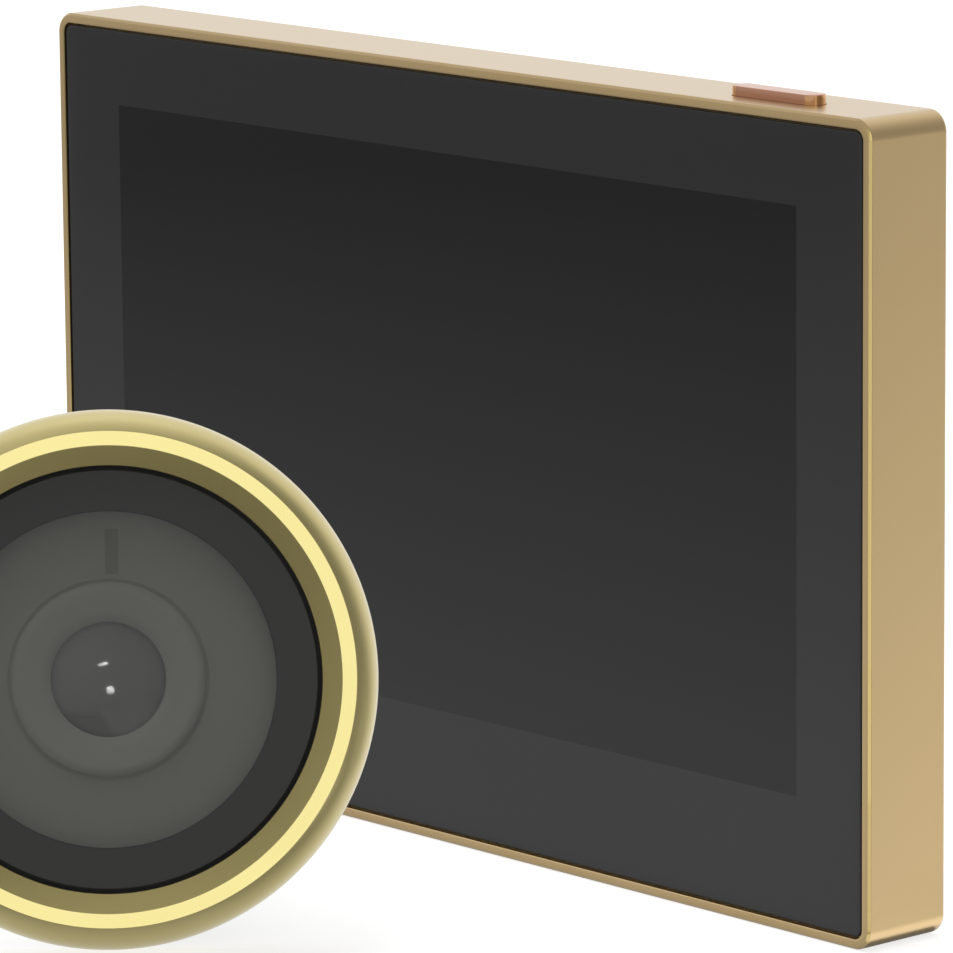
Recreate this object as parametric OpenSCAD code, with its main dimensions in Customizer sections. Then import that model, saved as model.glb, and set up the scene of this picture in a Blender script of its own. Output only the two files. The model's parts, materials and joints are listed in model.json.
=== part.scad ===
// Peephole door camera: an indoor screen unit with its wall bracket, and the round outdoor
// camera that reaches it through the door. Millimetres, +Z up. The origin is the centre of
// the screen unit's bottom face, and the screen looks along -Y.

/* [Screen unit] */
// Width of the screen unit
mon_w = 185.4; // [170:0.1:210]
// Height of the screen unit
mon_h = 121.1; // [116:0.1:140]
// Depth of the metal frame
mon_d = 15.5; // [15.2:0.1:20]
// Corner radius of the frame, seen from the front
corner_r = 3.2; // [2.8:0.1:9]
// Thickness of the frame's wall, which is the bright rim round the glass
rim_t = 1.55; // [1.2:0.05:2]

/* [Screen] */
// Distance from the frame's sides to the window in the black border
view_side = 15.2; // [14:0.05:18]
// Distance from the frame's top to that window
view_top = 13.75; // [12:0.05:16]
// Distance from the frame's bottom to that window
view_bottom = 20.65; // [18:0.05:24]
// Cover glass thickness
glass_t = 1.1; // [0.8:0.05:1.3]
// How far the glass lies below the rim
glass_recess = 0.2; // [0.1:0.05:0.4]
// Gap between the glass and the rim
glass_gap = 0.35; // [0.2:0.05:0.5]
// Reach of the ledge that carries the glass
ledge_w = 2.8; // [2:0.1:3]
// Thickness of that ledge
ledge_t = 1.2; // [0.8:0.1:1.5]
// Thickness of the glass gasket
tape_t = 0.3; // [0.2:0.05:0.5]
// Thickness of the display cell
lcd_t = 1.2; // [1:0.1:1.4]
// Reach of the display cell past the window, all round
lcd_margin = 3.5; // [2:0.1:5]
// Depth of the backlight tray
tray_t = 2.4; // [2:0.1:2.5]

/* [Chassis and electronics] */
// Thickness of the chassis plate
chassis_t = 1; // [0.8:0.1:1.1]
// Gap between the chassis and the frame's wall
chassis_gap = 0.25; // [0.15:0.05:0.4]
// Width of the chassis's raised border
border_w = 2.2; // [1.8:0.1:2.6]
// Height of the pillars under the main board
standoff_h = 1.2; // [1:0.1:1.3]
// Thickness of the main board
board_t = 1.2; // [1:0.1:1.3]
// Thickness of the battery
battery_t = 3.6; // [3:0.1:3.7]
// Height of the battery
battery_h = 78; // [60:1:84]
// Height of the chips and shields on the main board
chip_t = 1.2; // [0.8:0.1:1.3]
// Side of the square processor shield
shield_w = 20; // [16:1:24]
// Length of the speaker
speaker_w = 40; // [30:1:44]
// Distance of the microphone from the unit's right side
mic_in = 54.7; // [50:0.1:58]
// Distance of the charging socket from the unit's right side
usb_in = 34.7; // [28:0.1:38]
// Width of the charging socket's shell
usb_w = 9; // [8:0.1:10]
// Depth of the charging socket's shell
usb_d = 3.2; // [3:0.1:4]
// Length of the charging socket
usb_len = 7.5; // [6:0.1:9]
// Wall of the charging socket's shell
usb_wall = 0.35; // [0.25:0.05:0.5]
// Gap between neighbouring pieces inside
bay_gap = 0.8; // [0.5:0.1:1]

/* [Back cover] */
// Thickness of the back cover
cover_t = 1.6; // [1.2:0.1:1.8]
// How far the cover lies below the frame's rear edge
cover_inset = 0.3; // [0.1:0.05:0.5]
// Gap between the cover and the frame's wall
cover_gap = 0.2; // [0.1:0.05:0.3]
// Thickness of the cover's side walls
skirt_t = 1.5; // [1.2:0.1:1.8]
// Depth of the recess that takes the bracket
recess_d = 2; // [1.8:0.1:2.2]
// Wall of the well behind the camera's flange
well_t = 1.2; // [1:0.1:1.5]
// Room round the camera's flange in that well
well_gap = 1.25; // [0.8:0.05:2]
// Distance of the corner screws from the unit's edges
boss_in = 9; // [8:0.1:10]
// Radius of the corner screw pillars
boss_r = 2.6; // [2.4:0.1:3]
// Radius of the corner screws' shanks
screw_r = 1; // [0.8:0.05:1.2]
// Number of slots in the speaker grille
grille_n = 9; // [5:1:11]
// Distance between the grille's slots
grille_pitch = 3.4; // [2.6:0.1:4]

/* [Power button] */
// Distance of the button's middle from the unit's right side
btn_in = 25.4; // [22:0.1:27]
// How far the button's middle lies in front of the unit's middle
btn_front = 1.1; // [0.6:0.1:1.2]
// Length of the button
btn_w = 17.7; // [15:0.1:19]
// Depth of the button
btn_d = 3.6; // [3.5:0.1:4.6]
// How far the button stands above the frame
btn_proud = 1.5; // [1.2:0.05:2]
// Radius of the button's round ends
btn_r = 1.7; // [0.6:0.1:1.7]
// Gap round the button in its slot
btn_gap = 0.15; // [0.1:0.01:0.25]
// Travel of the button
btn_travel = 0.6; // [0.4:0.05:0.7]

/* [Bracket] */
// Width of the bracket
bracket_w = 110; // [104:1:116]
// Height of the bracket
bracket_h = 84; // [80:1:88]
// Thickness of the bracket's sheet
bracket_t = 1.5; // [1.2:0.1:1.5]
// Gap round the bracket in its recess
bracket_gap = 0.5; // [0.3:0.1:1]
// Gap between the bracket and the recess floor
seat_gap = 0.3; // [0.2:0.05:0.35]
// Distance of the hooks from the middle
hook_x = 44; // [42:0.5:46]
// Distance between the upper and the lower hooks
hook_pitch = 48; // [44:0.5:52]
// Width of a hook
hook_w = 9; // [7:0.5:10]
// Length of a hook's tongue
tongue_h = 6; // [4:0.5:7]
// Travel left over when a tongue is free of its slot
release_gap = 2; // [1:0.5:2.5]
// Distance of the door screws from the middle
door_screw_x = 48; // [46:0.5:50]
// Distance between the upper and the lower door screws
door_screw_pitch = 72; // [70:0.5:74]
// Radius of the door screws' holes
door_screw_r = 2.1; // [1.8:0.05:2.4]
// Thickness of the adhesive pads
pad_t = 1; // [0.8:0.1:1.5]
// Width of the adhesive pads
pad_w = 18; // [12:1:20]
// Length of the adhesive pads
pad_h = 60; // [50:1:64]

/* [Outdoor camera] */
// Outer radius of the bezel ring
bezel_r = 38.95; // [37:0.05:42]
// Width of the rounded shoulder outside the ring's bright flat
shoulder_w = 3.25; // [2.6:0.05:4]
// Width of that flat
land_w = 2.1; // [1.5:0.05:3]
// Width of the chamfer inside it
chamfer_w = 2.8; // [2.2:0.05:3.2]
// Height of the flat above the door
bezel_front = 15; // [14.5:0.1:17]
// Gap between the ring's rear edge and the door
bezel_back = 1; // [0.5:0.1:1.5]
// Wall of the ring's skirt
bezel_wall = 2; // [1.5:0.1:2.2]
// Slope of the rounded shoulder where it leaves the flat
shoulder_tilt = 25; // [15:1:40]
// Gap between the face and the ring
face_gap = 0.6; // [0.4:0.05:0.8]
// Thickness of the face
face_t = 1.5; // [1.2:0.1:1.6]
// How far the face lies below the ring's inner edge
face_drop = 0.2; // [0.1:0.05:0.4]
// Width of the black border round the clear window in the face
face_border = 5.9; // [5:0.1:7]
// Travel of the face as the bell push
bell_travel = 0.6; // [0.4:0.05:0.7]
// Thickness of the camera housing's floor
housing_t = 2; // [1.6:0.1:2.2]
// Thickness of the door seal
seal_t = 2; // [1.5:0.1:2.5]
// Thickness of the camera's board
cam_board_t = 1.2; // [1:0.1:1.4]
// Outer radius of the ring round the lens
trim_r = 14; // [12:0.1:15]
// Radius of the front lens
lens_r = 8.3; // [7.5:0.1:8.8]
// Height of the front lens's dome
lens_sag = 1.2; // [0.8:0.1:1.3]
// Number of infrared lamps
led_n = 6; // [4:1:8]

/* [Door tube] */
// Thickness of the door at rest
door_t = 50; // [46:0.5:54]
// Radius of the barrel on the camera
barrel_r = 10.5; // [10:0.1:12]
// Length of that barrel behind the door's face
barrel_len = 24; // [20:0.5:26]
// Radius of the tube that screws into it
tube_r = 8.7; // [8:0.05:9]
// Radius of the cable's way through the tube
cable_r = 6.5; // [5:0.05:6.8]
// Gap between the tube and the barrel
tube_gap = 0.1; // [0.05:0.01:0.2]
// Length of tube inside the barrel at rest
engage = 8; // [6:0.5:10]
// Radius of the indoor flange
flange_r = 26.75; // [24:0.05:29]
// Thickness of the indoor flange
flange_t = 3; // [2.5:0.1:4]
// Thickness of the slip washer
washer_t = 1.5; // [1:0.1:2]
// How much smaller the slip washer is than the flange
washer_in = 2.5; // [2:0.5:5]

/* [Place of the camera] */
// Middle of the camera's door face, across
cam_x = 7.45; // [0:0.05:20]
// Middle of the camera's door face, in front of the screen unit
cam_y = -78.97; // [-100:0.01:-74]
// Turn of the camera towards the right
cam_heading = 51.714; // [40:0.001:60]

/* [Hidden] */
$fn = 96;
eps = 0.01;
// Gap of a piece that seats without touching
part_gap = 0.3;

// Depths through the screen unit, from the glass to the back
y_front = -mon_d / 2;
y_back = mon_d / 2;
mid_z = mon_h / 2;
glass_y0 = y_front + glass_recess;
glass_y1 = glass_y0 + glass_t;
ledge_y0 = glass_y1 + tape_t;
ledge_y1 = ledge_y0 + ledge_t;
lcd_y1 = glass_y1 + lcd_t;
tray_y1 = lcd_y1 + tray_t;
chassis_y1 = tray_y1 + chassis_t;
board_y0 = chassis_y1 + standoff_h;
board_y1 = board_y0 + board_t;
cover_y1 = y_back - cover_inset;
cover_y0 = cover_y1 - cover_t;
floor_y1 = cover_y1 - recess_d;
floor_y0 = floor_y1 - cover_t;
bracket_y0 = floor_y1 + seat_gap;
bracket_y1 = bracket_y0 + bracket_t;
hook_gap = 0.2;
tongue_y1 = floor_y0 - hook_gap;
tongue_y0 = tongue_y1 - bracket_t;

// Outlines inside the frame
in_w = mon_w - 2 * rim_t;
in_h = mon_h - 2 * rim_t;
in_r = corner_r - rim_t;
cover_w = in_w - 2 * cover_gap;
cover_h = in_h - 2 * cover_gap;
cover_r = in_r - cover_gap;
// No corner inside these is sharper than the least radius
least_r = 0.4;
skirt_r = max(cover_r - skirt_t, least_r);
border_r = max(in_r - border_w, least_r);
chassis_w = in_w - 2 * chassis_gap;
chassis_h = in_h - 2 * chassis_gap;
// Inner faces of the cover's side walls
skirt_x = cover_w / 2 - skirt_t;
skirt_z0 = rim_t + cover_gap + skirt_t;
// Window in the black border, and the display cell behind it
view_w = mon_w - 2 * view_side;
view_h = mon_h - view_top - view_bottom;
view_mid_z = view_bottom + view_h / 2;
lcd_w = view_w + 2 * lcd_margin;
lcd_h = view_h + 2 * lcd_margin;

// Well, bays and main board
well_r = flange_r + well_gap;
well_y0 = chassis_y1 + part_gap;
boss_x = mon_w / 2 - boss_in;
bay_x0 = well_r + well_t + bay_gap;
board_x1 = boss_x - boss_r - bay_gap;
board_mid_x = (bay_x0 + board_x1) / 2;
board_z0 = skirt_z0 + bay_gap;
board_h = mon_h - 2 * board_z0;
battery_x0 = -(skirt_x - bay_gap);
battery_w = skirt_x - bay_gap - bay_x0;
standoff_r = 2.2;
board_screw_in = 6;
board_screw_r = 0.8;
board_head_r = 1.6;
board_head_t = 0.8;
board_screw_z = 14;
// Screws' play in their clearance holes
screw_gap = 0.1;
// Heads and pilot depth of the corner screws
screw_head_r = 2.2;
screw_head_t = 1;
cross_l = 2.6;
cross_w = 0.5;
cross_d = 0.7;
// The microphone stands between the main board and the cover
mic_x = mon_w / 2 - mic_in;
mic_r = (cover_y0 - board_y1) / 2 - part_gap;
mic_h = 3;
mic_hole_r = 0.8;
mic_y = (cover_y0 + board_y1) / 2;
chip_shift = 3;
radio_w = 14;
radio_h = 11;
radio_in = 20;
antenna_x = 8;
antenna_w = 32;
antenna_t = 0.3;
socket_w = 8;
socket_d = 2.8;
socket_h = 10;

// Charging socket, set back from the frame's bottom face
usb_x = mon_w / 2 - usb_in;
usb_z0 = 0.4;
usb_back_t = 1;
usb_tongue_in = 1.6;
usb_tongue_t = 0.7;

// Button, its flange under the frame and the switch below it
btn_x = mon_w / 2 - btn_in;
btn_y = -btn_front;
frame_in_z = mon_h - rim_t;
btn_flange_t = 0.8;
btn_flange_lip = 1.2;
btn_flange_w = btn_w + 2 * btn_flange_lip;
btn_flange_gap = 0.1;
btn_flange_z1 = frame_in_z - btn_flange_gap;
btn_flange_z0 = btn_flange_z1 - btn_flange_t;
btn_notch_gap = 1;
btn_notch_w = btn_flange_w + 2 * btn_notch_gap;
btn_notch_z0 = btn_flange_z0 - btn_travel - btn_notch_gap;
btn_stem = 2.4;
btn_stem_y = board_y1 + part_gap + btn_stem / 2;
btn_stem_l = 3.6;
btn_stem_z0 = btn_flange_z0 - btn_stem_l;
// A switch's tip lies this much below the end of the push
switch_play = 0.05;
tact_z1 = btn_stem_z0 - btn_travel - switch_play;
tact_w = 6;
tact_h = 4.5;
tact_tip = 1.2;
tact_tip_r = 1;
tact_d = 2 * (btn_stem_y - board_y1);

// Bracket in its recess, hooked at the top of its travel
hook_travel = tongue_h + release_gap;
recess_w = bracket_w + 2 * bracket_gap;
recess_h = bracket_h + hook_travel + 2 * bracket_gap;
recess_z0 = mid_z - recess_h / 2;
recess_z1 = mid_z + recess_h / 2;
bracket_mid_z = recess_z1 - bracket_gap - bracket_h / 2;
bracket_corner_r = 4;
pad_r = 2;
slot_gap = 0.4;
// The speaker lies below the recess, beside the lower left corner screw
speaker_x0 = -boss_x + boss_r + bay_gap;
speaker_z0 = skirt_z0 + part_gap;
speaker_z1 = recess_z0 - cover_t - part_gap;
grille_slot_w = 1.2;
grille_in = 1.2;

// Camera: heights along its own axis, from the door's face
lean = atan((bezel_r - flange_r) / (bezel_back + door_t + washer_t + flange_t));
cam_z = bezel_r * cos(lean) - bezel_back * sin(lean);
land_ro = bezel_r - shoulder_w;
land_ri = land_ro - land_w;
bezel_ri = land_ri - chamfer_w;
shoulder_r = shoulder_w / (1 - sin(shoulder_tilt));
shoulder_z = bezel_front - shoulder_r * cos(shoulder_tilt);
// The chamfer from the flat to the opening slopes at 45 degrees
bezel_in_z = bezel_front - chamfer_w;
face_r = bezel_ri - face_gap;
window_r = face_r - face_border;
face_z1 = bezel_in_z - face_drop;
face_z0 = face_z1 - face_t;
carrier_t = 1;
carrier_lip_t = 1.1;
carrier_gap = 0.2;
carrier_ri = window_r + part_gap;
carrier_reach = 2;
carrier_lip_r = bezel_ri + carrier_reach;
carrier_z1 = face_z0 - carrier_t;
carrier_z0 = carrier_z1 - carrier_lip_t;
bezel_flange_z0 = carrier_z1 + carrier_gap;
bezel_head_r = 1.3;
bezel_head_t = 1;
housing_r = bezel_r - bezel_wall - cover_gap;
// The housing's wall is thick enough for the bezel's screws
housing_ri = housing_r - 2 * (bezel_head_r + screw_gap) - part_gap;
gasket_t = 0.5;
housing_z1 = bezel_flange_z0 - gasket_t;
floor_z1 = seal_t + housing_t;
board_seat = 0.4;
board_seat_w = 1.8;
cam_board_r = housing_ri - part_gap;
cam_board_z0 = floor_z1 + board_seat;
cam_board_z1 = cam_board_z0 + cam_board_t;
bell_switch_z1 = carrier_z0 - bell_travel - switch_play;
bell_switch_n = 3;
bell_switch_w = 3.2;
bell_switch_out = 5.7;
bell_switch_at = window_r + bell_switch_out;
led_r = 1.3;
led_out = 2.9;
led_at = window_r + led_out;
led_z1 = bell_switch_z1 - part_gap;
shield_t = 0.8;
shield_slot_w = 1.9;
// The slot's distances from the ring round the lens and from the window's edge
shield_slot_in = 1.2;
shield_slot_out = 2.5;
shield_slot_l = window_r - trim_r - shield_slot_in - shield_slot_out;
lens_seat_w = 2;
lens_seat_r = lens_r + lens_seat_w;
lens_wall = 1.5;
lens_ri = lens_r - lens_wall;
// The lens and its ring stay clear of the face when it is pushed in
lens_clear = 0.5;
lens_z1 = face_z0 - bell_travel - lens_clear;
lens_z0 = lens_z1 - lens_sag;
shield_z1 = lens_z0;
shield_z0 = shield_z1 - shield_t;
trim_top = lens_z1 - shield_z1;
trim_lip = 0.4;
sensor_w = 8.6;
sensor_t = 0.9;
// The call speaker and microphone stand between the lens and the infrared lamps
sound_at = (lens_seat_r + led_at - led_r) / 2;
sound_r = 5;
call_mic_r = 2;
sound_t = shield_z0 - cam_board_z1 - part_gap;
bezel_screw_n = 3;
bezel_screw_at = (housing_ri + housing_r) / 2;
bezel_screw_r = 0.7;
bezel_screw_bite = 2;
bezel_screw_z1 = bezel_flange_z0 + bezel_screw_bite;
barrel_ri = tube_r + tube_gap;
barrel_foot_w = 9.5;
barrel_foot_r = barrel_r + barrel_foot_w;
barrel_foot_t = 1.7;
barrel_foot_z0 = seal_t - barrel_foot_t;
seal_foot_gap = 3;
seal_in = 1;
seal_ri = barrel_foot_r + seal_foot_gap;
seal_ro = housing_ri - seal_in;
barrel_screw_at = (barrel_r + barrel_foot_r) / 2;
barrel_screw_r = 0.9;
barrel_head_r = 1.8;
barrel_head_t = 0.9;
barrel_screw_n = 3;
tube_z1 = -barrel_len + engage;
washer_z1 = -door_t;
flange_z1 = washer_z1 - washer_t;
flange_z0 = flange_z1 - flange_t;
spanner_n = 4;
spanner_r = 2.2;
spanner_at = (barrel_r + flange_r) / 2;

gold = "#c3a26a";
bright_gold = "#f4dfa2";
copper = "#a9714f";
black_glass = "#1b1c1e";
black = "#26272a";
dark_grey = "#4b4d50";
steel = "#b9bdc2";
green = "#1f5a3c";
rubber = "#303236";
smoke = "#5a5d60";
white = "#e6e6e2";

// Rectangle with round corners about the origin
module rounded_rect(w, h, r) {
    square([w - 2 * r, h], center = true);
    square([w, h - 2 * r], center = true);
    for (sx = [-1, 1], sy = [-1, 1])
        translate([sx * (w / 2 - r), sy * (h / 2 - r)]) circle(r);
}

// Upright plate with round corners, from depth y0 to depth y1
module plate(w, h, r, y0, y1, x = 0, z = mid_z) {
    translate([x, y1, z]) rotate([90, 0, 0]) linear_extrude(y1 - y0) rounded_rect(w, h, r);
}

// Block given by its two corners
module block(low, high) {
    translate(low) cube(high - low);
}

// Round bar along the depth, from y0 to y1
module bar_y(r, y0, y1) {
    translate([0, y1, 0]) rotate([90, 0, 0]) cylinder(r = r, h = y1 - y0);
}

// Round bar along the camera's axis, from z0 to z1
module bar_z(r, z0, z1) {
    translate([0, 0, z0]) cylinder(r = r, h = z1 - z0);
}

// Flat ring along the camera's axis
module ring(ro, ri, z0, z1) {
    difference() {
        bar_z(ro, z0, z1);
        bar_z(ri, z0 - eps, z1 + eps);
    }
}

// Copies on a circle about the camera's axis
module round_copies(n, at, start = 0) {
    for (i = [0 : n - 1])
        rotate([0, 0, start + i * 360 / n]) translate([at, 0, 0]) children();
}

// From the camera's own axes to where it stands, leaning back on its rim and its flange
module in_camera() {
    translate([cam_x, cam_y, cam_z]) rotate([0, 90 - lean, cam_heading - 90]) children();
}

// The screws that hold the bezel ring to the housing
module at_bezel_screws() {
    round_copies(bezel_screw_n, bezel_screw_at) children();
}

// The screws that hold the barrel's foot to the housing
module at_barrel_screws() {
    round_copies(barrel_screw_n, barrel_screw_at) children();
}

// The four corner screws of the back cover
module at_corner_screws() {
    for (sx = [-1, 1], z = [boss_in, mon_h - boss_in])
        translate([sx * boss_x, 0, z]) children();
}

// The four screws of the main board
module at_board_screws() {
    for (x = [bay_x0 + board_screw_in, board_x1 - board_screw_in], z = [board_screw_z, mon_h - board_screw_z])
        translate([x, 0, z]) children();
}

// The four hooks: the underside of each hook's web
module at_hooks() {
    for (sx = [-1, 1], sz = [-1, 1])
        translate([sx * hook_x, 0, mid_z + sz * hook_pitch / 2]) children();
}

// The button's bar, seen from above, with room g round it
module button_outline(g) {
    translate([btn_x, btn_y]) rounded_rect(btn_w + 2 * g, btn_d + 2 * g, btn_r + g);
}

// Opening inside the ledge that carries the glass
module ledge_opening(y0, y1) {
    plate(in_w - 2 * ledge_w, in_h - 2 * ledge_w, in_r, y0, y1);
}

// Way of the charging plug through the frame and the cover's side wall
module usb_way(g, z0, z1) {
    y = board_y1 + usb_d / 2;
    translate([usb_x, y, z0]) linear_extrude(z1 - z0)
        rounded_rect(usb_w + 2 * g, usb_d + 2 * g, usb_d / 2 + g - eps);
}

// Way of the sound to the microphone
module mic_way() {
    translate([mic_x, mic_y, -eps]) cylinder(r = mic_hole_r, h = skirt_z0 + 2 * eps);
}

module front_frame() color(gold) difference() {
    plate(mon_w, mon_h, corner_r, y_front, y_back);
    plate(in_w, in_h, in_r, y_front - eps, ledge_y0);
    ledge_opening(y_front, y_back);
    plate(in_w, in_h, in_r, ledge_y1, y_back + eps);
    translate([0, 0, frame_in_z - eps]) linear_extrude(rim_t + 2 * eps) button_outline(btn_gap);
    usb_way(part_gap, -eps, rim_t + eps);
    mic_way();
}

module cover_glass() color(black_glass)
    plate(in_w - 2 * glass_gap, in_h - 2 * glass_gap, in_r - glass_gap, glass_y0, glass_y1);

module glass_gasket() color(rubber) difference() {
    plate(in_w - 2 * glass_gap, in_h - 2 * glass_gap, in_r - glass_gap, glass_y1, ledge_y0);
    ledge_opening(glass_y1 - eps, ledge_y0 + eps);
}

module lcd_panel() color(black)
    block([-lcd_w / 2, glass_y1, view_mid_z - lcd_h / 2], [lcd_w / 2, lcd_y1, view_mid_z + lcd_h / 2]);

module backlight_tray() color(steel)
    block([-lcd_w / 2, lcd_y1, view_mid_z - lcd_h / 2], [lcd_w / 2, tray_y1, view_mid_z + lcd_h / 2]);

module chassis_plate() color(dark_grey) difference() {
    union() {
        plate(chassis_w, chassis_h, in_r - chassis_gap, ledge_y1, chassis_y1);
        at_corner_screws() bar_y(boss_r, chassis_y1 - eps, cover_y0);
        at_board_screws() bar_y(standoff_r, chassis_y1 - eps, board_y0);
    }
    plate(chassis_w - 2 * border_w, chassis_h - 2 * border_w, border_r, ledge_y1 - eps, tray_y1);
    at_corner_screws() bar_y(screw_r + screw_gap, chassis_y1, cover_y0 + eps);
    at_board_screws() bar_y(board_screw_r + screw_gap, tray_y1 - eps, board_y0 + eps);
    block([btn_x - btn_notch_w / 2, ledge_y1 - eps, btn_notch_z0],
        [btn_x + btn_notch_w / 2, chassis_y1 + eps, mon_h]);
}

module main_board() color(green) difference() {
    block([bay_x0, board_y0, board_z0], [board_x1, board_y1, board_z0 + board_h]);
    at_board_screws() bar_y(board_screw_r + screw_gap, board_y0 - eps, board_y1 + eps);
}

module board_screws() color(steel) at_board_screws() {
    bar_y(board_screw_r, chassis_y1, board_y1 + eps);
    bar_y(board_head_r, board_y1, board_y1 + board_head_t);
}

// Flat piece soldered to the main board
module chip(x, z, w, h) {
    block([x - w / 2, board_y1, z - h / 2], [x + w / 2, board_y1 + chip_t, z + h / 2]);
}

module processor_shield() color(steel) chip(board_mid_x + chip_shift, mid_z, shield_w, shield_w);

module radio_module() color(steel) chip(board_mid_x, mon_h - radio_in, radio_w, radio_h);

module radio_antenna() color(copper)
    block([-antenna_x - antenna_w, cover_y0 - antenna_t, recess_z1 + cover_t + bay_gap],
        [-antenna_x, cover_y0, mon_h - skirt_z0 - bay_gap]);

module battery_pack() color(white)
    block([battery_x0, chassis_y1, mid_z - battery_h / 2],
        [battery_x0 + battery_w, chassis_y1 + battery_t, mid_z + battery_h / 2]);

module speaker() color(black)
    block([speaker_x0, chassis_y1, speaker_z0], [speaker_x0 + speaker_w, cover_y0 - part_gap, speaker_z1]);

module microphone() color(rubber) translate([mic_x, mic_y, skirt_z0]) difference() {
    cylinder(r = mic_r, h = mic_h);
    translate([0, 0, -eps]) cylinder(r = mic_hole_r, h = mic_h / 2);
}

module charging_socket() color(steel) {
    back = usb_z0 + usb_len - usb_back_t;
    y = board_y1 + usb_d / 2;
    difference() {
        usb_way(0, usb_z0, usb_z0 + usb_len);
        usb_way(-usb_wall, usb_z0 - eps, back);
    }
    // Contact tongue
    block([usb_x - usb_w / 2 + usb_tongue_in, y - usb_tongue_t / 2, usb_z0 + usb_tongue_in],
        [usb_x + usb_w / 2 - usb_tongue_in, y + usb_tongue_t / 2, back + eps]);
}

module camera_socket() color(white)
    block([bay_x0, board_y1, mid_z - socket_h / 2],
        [bay_x0 + socket_w, board_y1 + socket_d, mid_z + socket_h / 2]);

module button_switch() color(black) {
    z1 = tact_z1 - tact_tip;
    block([btn_x - tact_w / 2, board_y1, z1 - tact_h], [btn_x + tact_w / 2, board_y1 + tact_d, z1]);
    translate([btn_x, btn_stem_y, z1 - eps]) cylinder(r = tact_tip_r, h = tact_tip + eps);
}

module power_button() color(copper) {
    translate([0, 0, btn_flange_z1 - eps])
        linear_extrude(mon_h + btn_proud - btn_flange_z1 + eps) button_outline(0);
    block([btn_x - btn_flange_w / 2, btn_y - btn_d / 2, btn_flange_z0],
        [btn_x + btn_flange_w / 2, btn_stem_y + btn_stem / 2, btn_flange_z1]);
    block([btn_x - btn_stem / 2, btn_stem_y - btn_stem / 2, btn_stem_z0],
        [btn_x + btn_stem / 2, btn_stem_y + btn_stem / 2, btn_flange_z0 + eps]);
}

module back_cover() color(black) difference() {
    union() {
        difference() {
            plate(cover_w, cover_h, cover_r, chassis_y1, cover_y1);
            plate(2 * skirt_x, cover_h - 2 * skirt_t, skirt_r, chassis_y1 - eps, cover_y0);
        }
        // Floor and walls of the recess for the bracket
        plate(recess_w + 2 * cover_t, recess_h + 2 * cover_t, bracket_corner_r + bracket_gap + cover_t,
            floor_y0, cover_y0 + eps);
        // Well for the camera's flange
        translate([0, 0, mid_z]) bar_y(well_r + well_t, well_y0, floor_y0 + eps);
    }
    plate(recess_w, recess_h, bracket_corner_r + bracket_gap, floor_y1, cover_y1 + eps);
    translate([0, 0, mid_z]) bar_y(well_r, well_y0 + well_t, floor_y1 + eps);
    at_hooks() block([-hook_w / 2 - slot_gap, floor_y0 - eps, -hook_travel - slot_gap],
        [hook_w / 2 + slot_gap, floor_y1 + eps, bracket_t + slot_gap / 2]);
    // Window from the well to the camera's socket
    block([well_r / 2, board_y1 + part_gap, mid_z - socket_h / 2 - part_gap],
        [well_r + well_t + eps, board_y1 + socket_d, mid_z + socket_h / 2 + part_gap]);
    // Corner screws, button, charging plug, microphone and speaker
    at_corner_screws() bar_y(screw_r + screw_gap, cover_y0 - eps, cover_y1 + eps);
    at_corner_screws() bar_y(screw_head_r + screw_gap, cover_y1 - screw_head_t, cover_y1 + eps);
    block([btn_x - btn_notch_w / 2, chassis_y1 - eps, mon_h - skirt_z0 - eps],
        [btn_x + btn_notch_w / 2, btn_stem_y + btn_stem, mon_h]);
    usb_way(part_gap, -eps, skirt_z0 + eps);
    mic_way();
    for (i = [0 : grille_n - 1])
        translate([speaker_x0 + speaker_w / 2 + (i - (grille_n - 1) / 2) * grille_pitch, 0, 0])
            block([-grille_slot_w / 2, cover_y0 - eps, speaker_z0 + grille_in],
                [grille_slot_w / 2, cover_y1 + eps, speaker_z1 - grille_in]);
}

module back_screws() color(steel) at_corner_screws() difference() {
    union() {
        bar_y(screw_r, chassis_y1 + screw_r, cover_y1 - screw_head_t + eps);
        bar_y(screw_head_r, cover_y1 - screw_head_t, cover_y1 - screw_gap);
    }
    // Cross recess
    for (turn = [0, 90]) rotate([0, turn, 0])
        block([-cross_l / 2, cover_y1 - cross_d, -cross_w / 2], [cross_l / 2, cover_y1, cross_w / 2]);
}

module wall_bracket() color(steel) difference() {
    union() {
        plate(bracket_w, bracket_h, bracket_corner_r, bracket_y0, bracket_y1, 0, bracket_mid_z);
        at_hooks() {
            block([-hook_w / 2, tongue_y0, 0], [hook_w / 2, bracket_y0 + eps, bracket_t]);
            block([-hook_w / 2, tongue_y0, 0], [hook_w / 2, tongue_y1, bracket_t + tongue_h]);
        }
    }
    translate([0, 0, mid_z]) bar_y(well_r + bracket_gap, bracket_y0 - eps, bracket_y1 + eps);
    // The sheet that each hook was bent from
    at_hooks() block([-hook_w / 2, bracket_y0 - eps, bracket_t],
        [hook_w / 2, bracket_y1 + eps, bracket_t + tongue_h]);
    for (sx = [-1, 1], sz = [-1, 1])
        translate([sx * door_screw_x, 0, bracket_mid_z + sz * door_screw_pitch / 2])
            bar_y(door_screw_r, bracket_y0 - eps, bracket_y1 + eps);
}

module adhesive_pads() color(rubber)
    for (sx = [-1, 1])
        plate(pad_w, pad_h, pad_r, bracket_y1, bracket_y1 + pad_t, sx * hook_x, bracket_mid_z);

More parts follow.
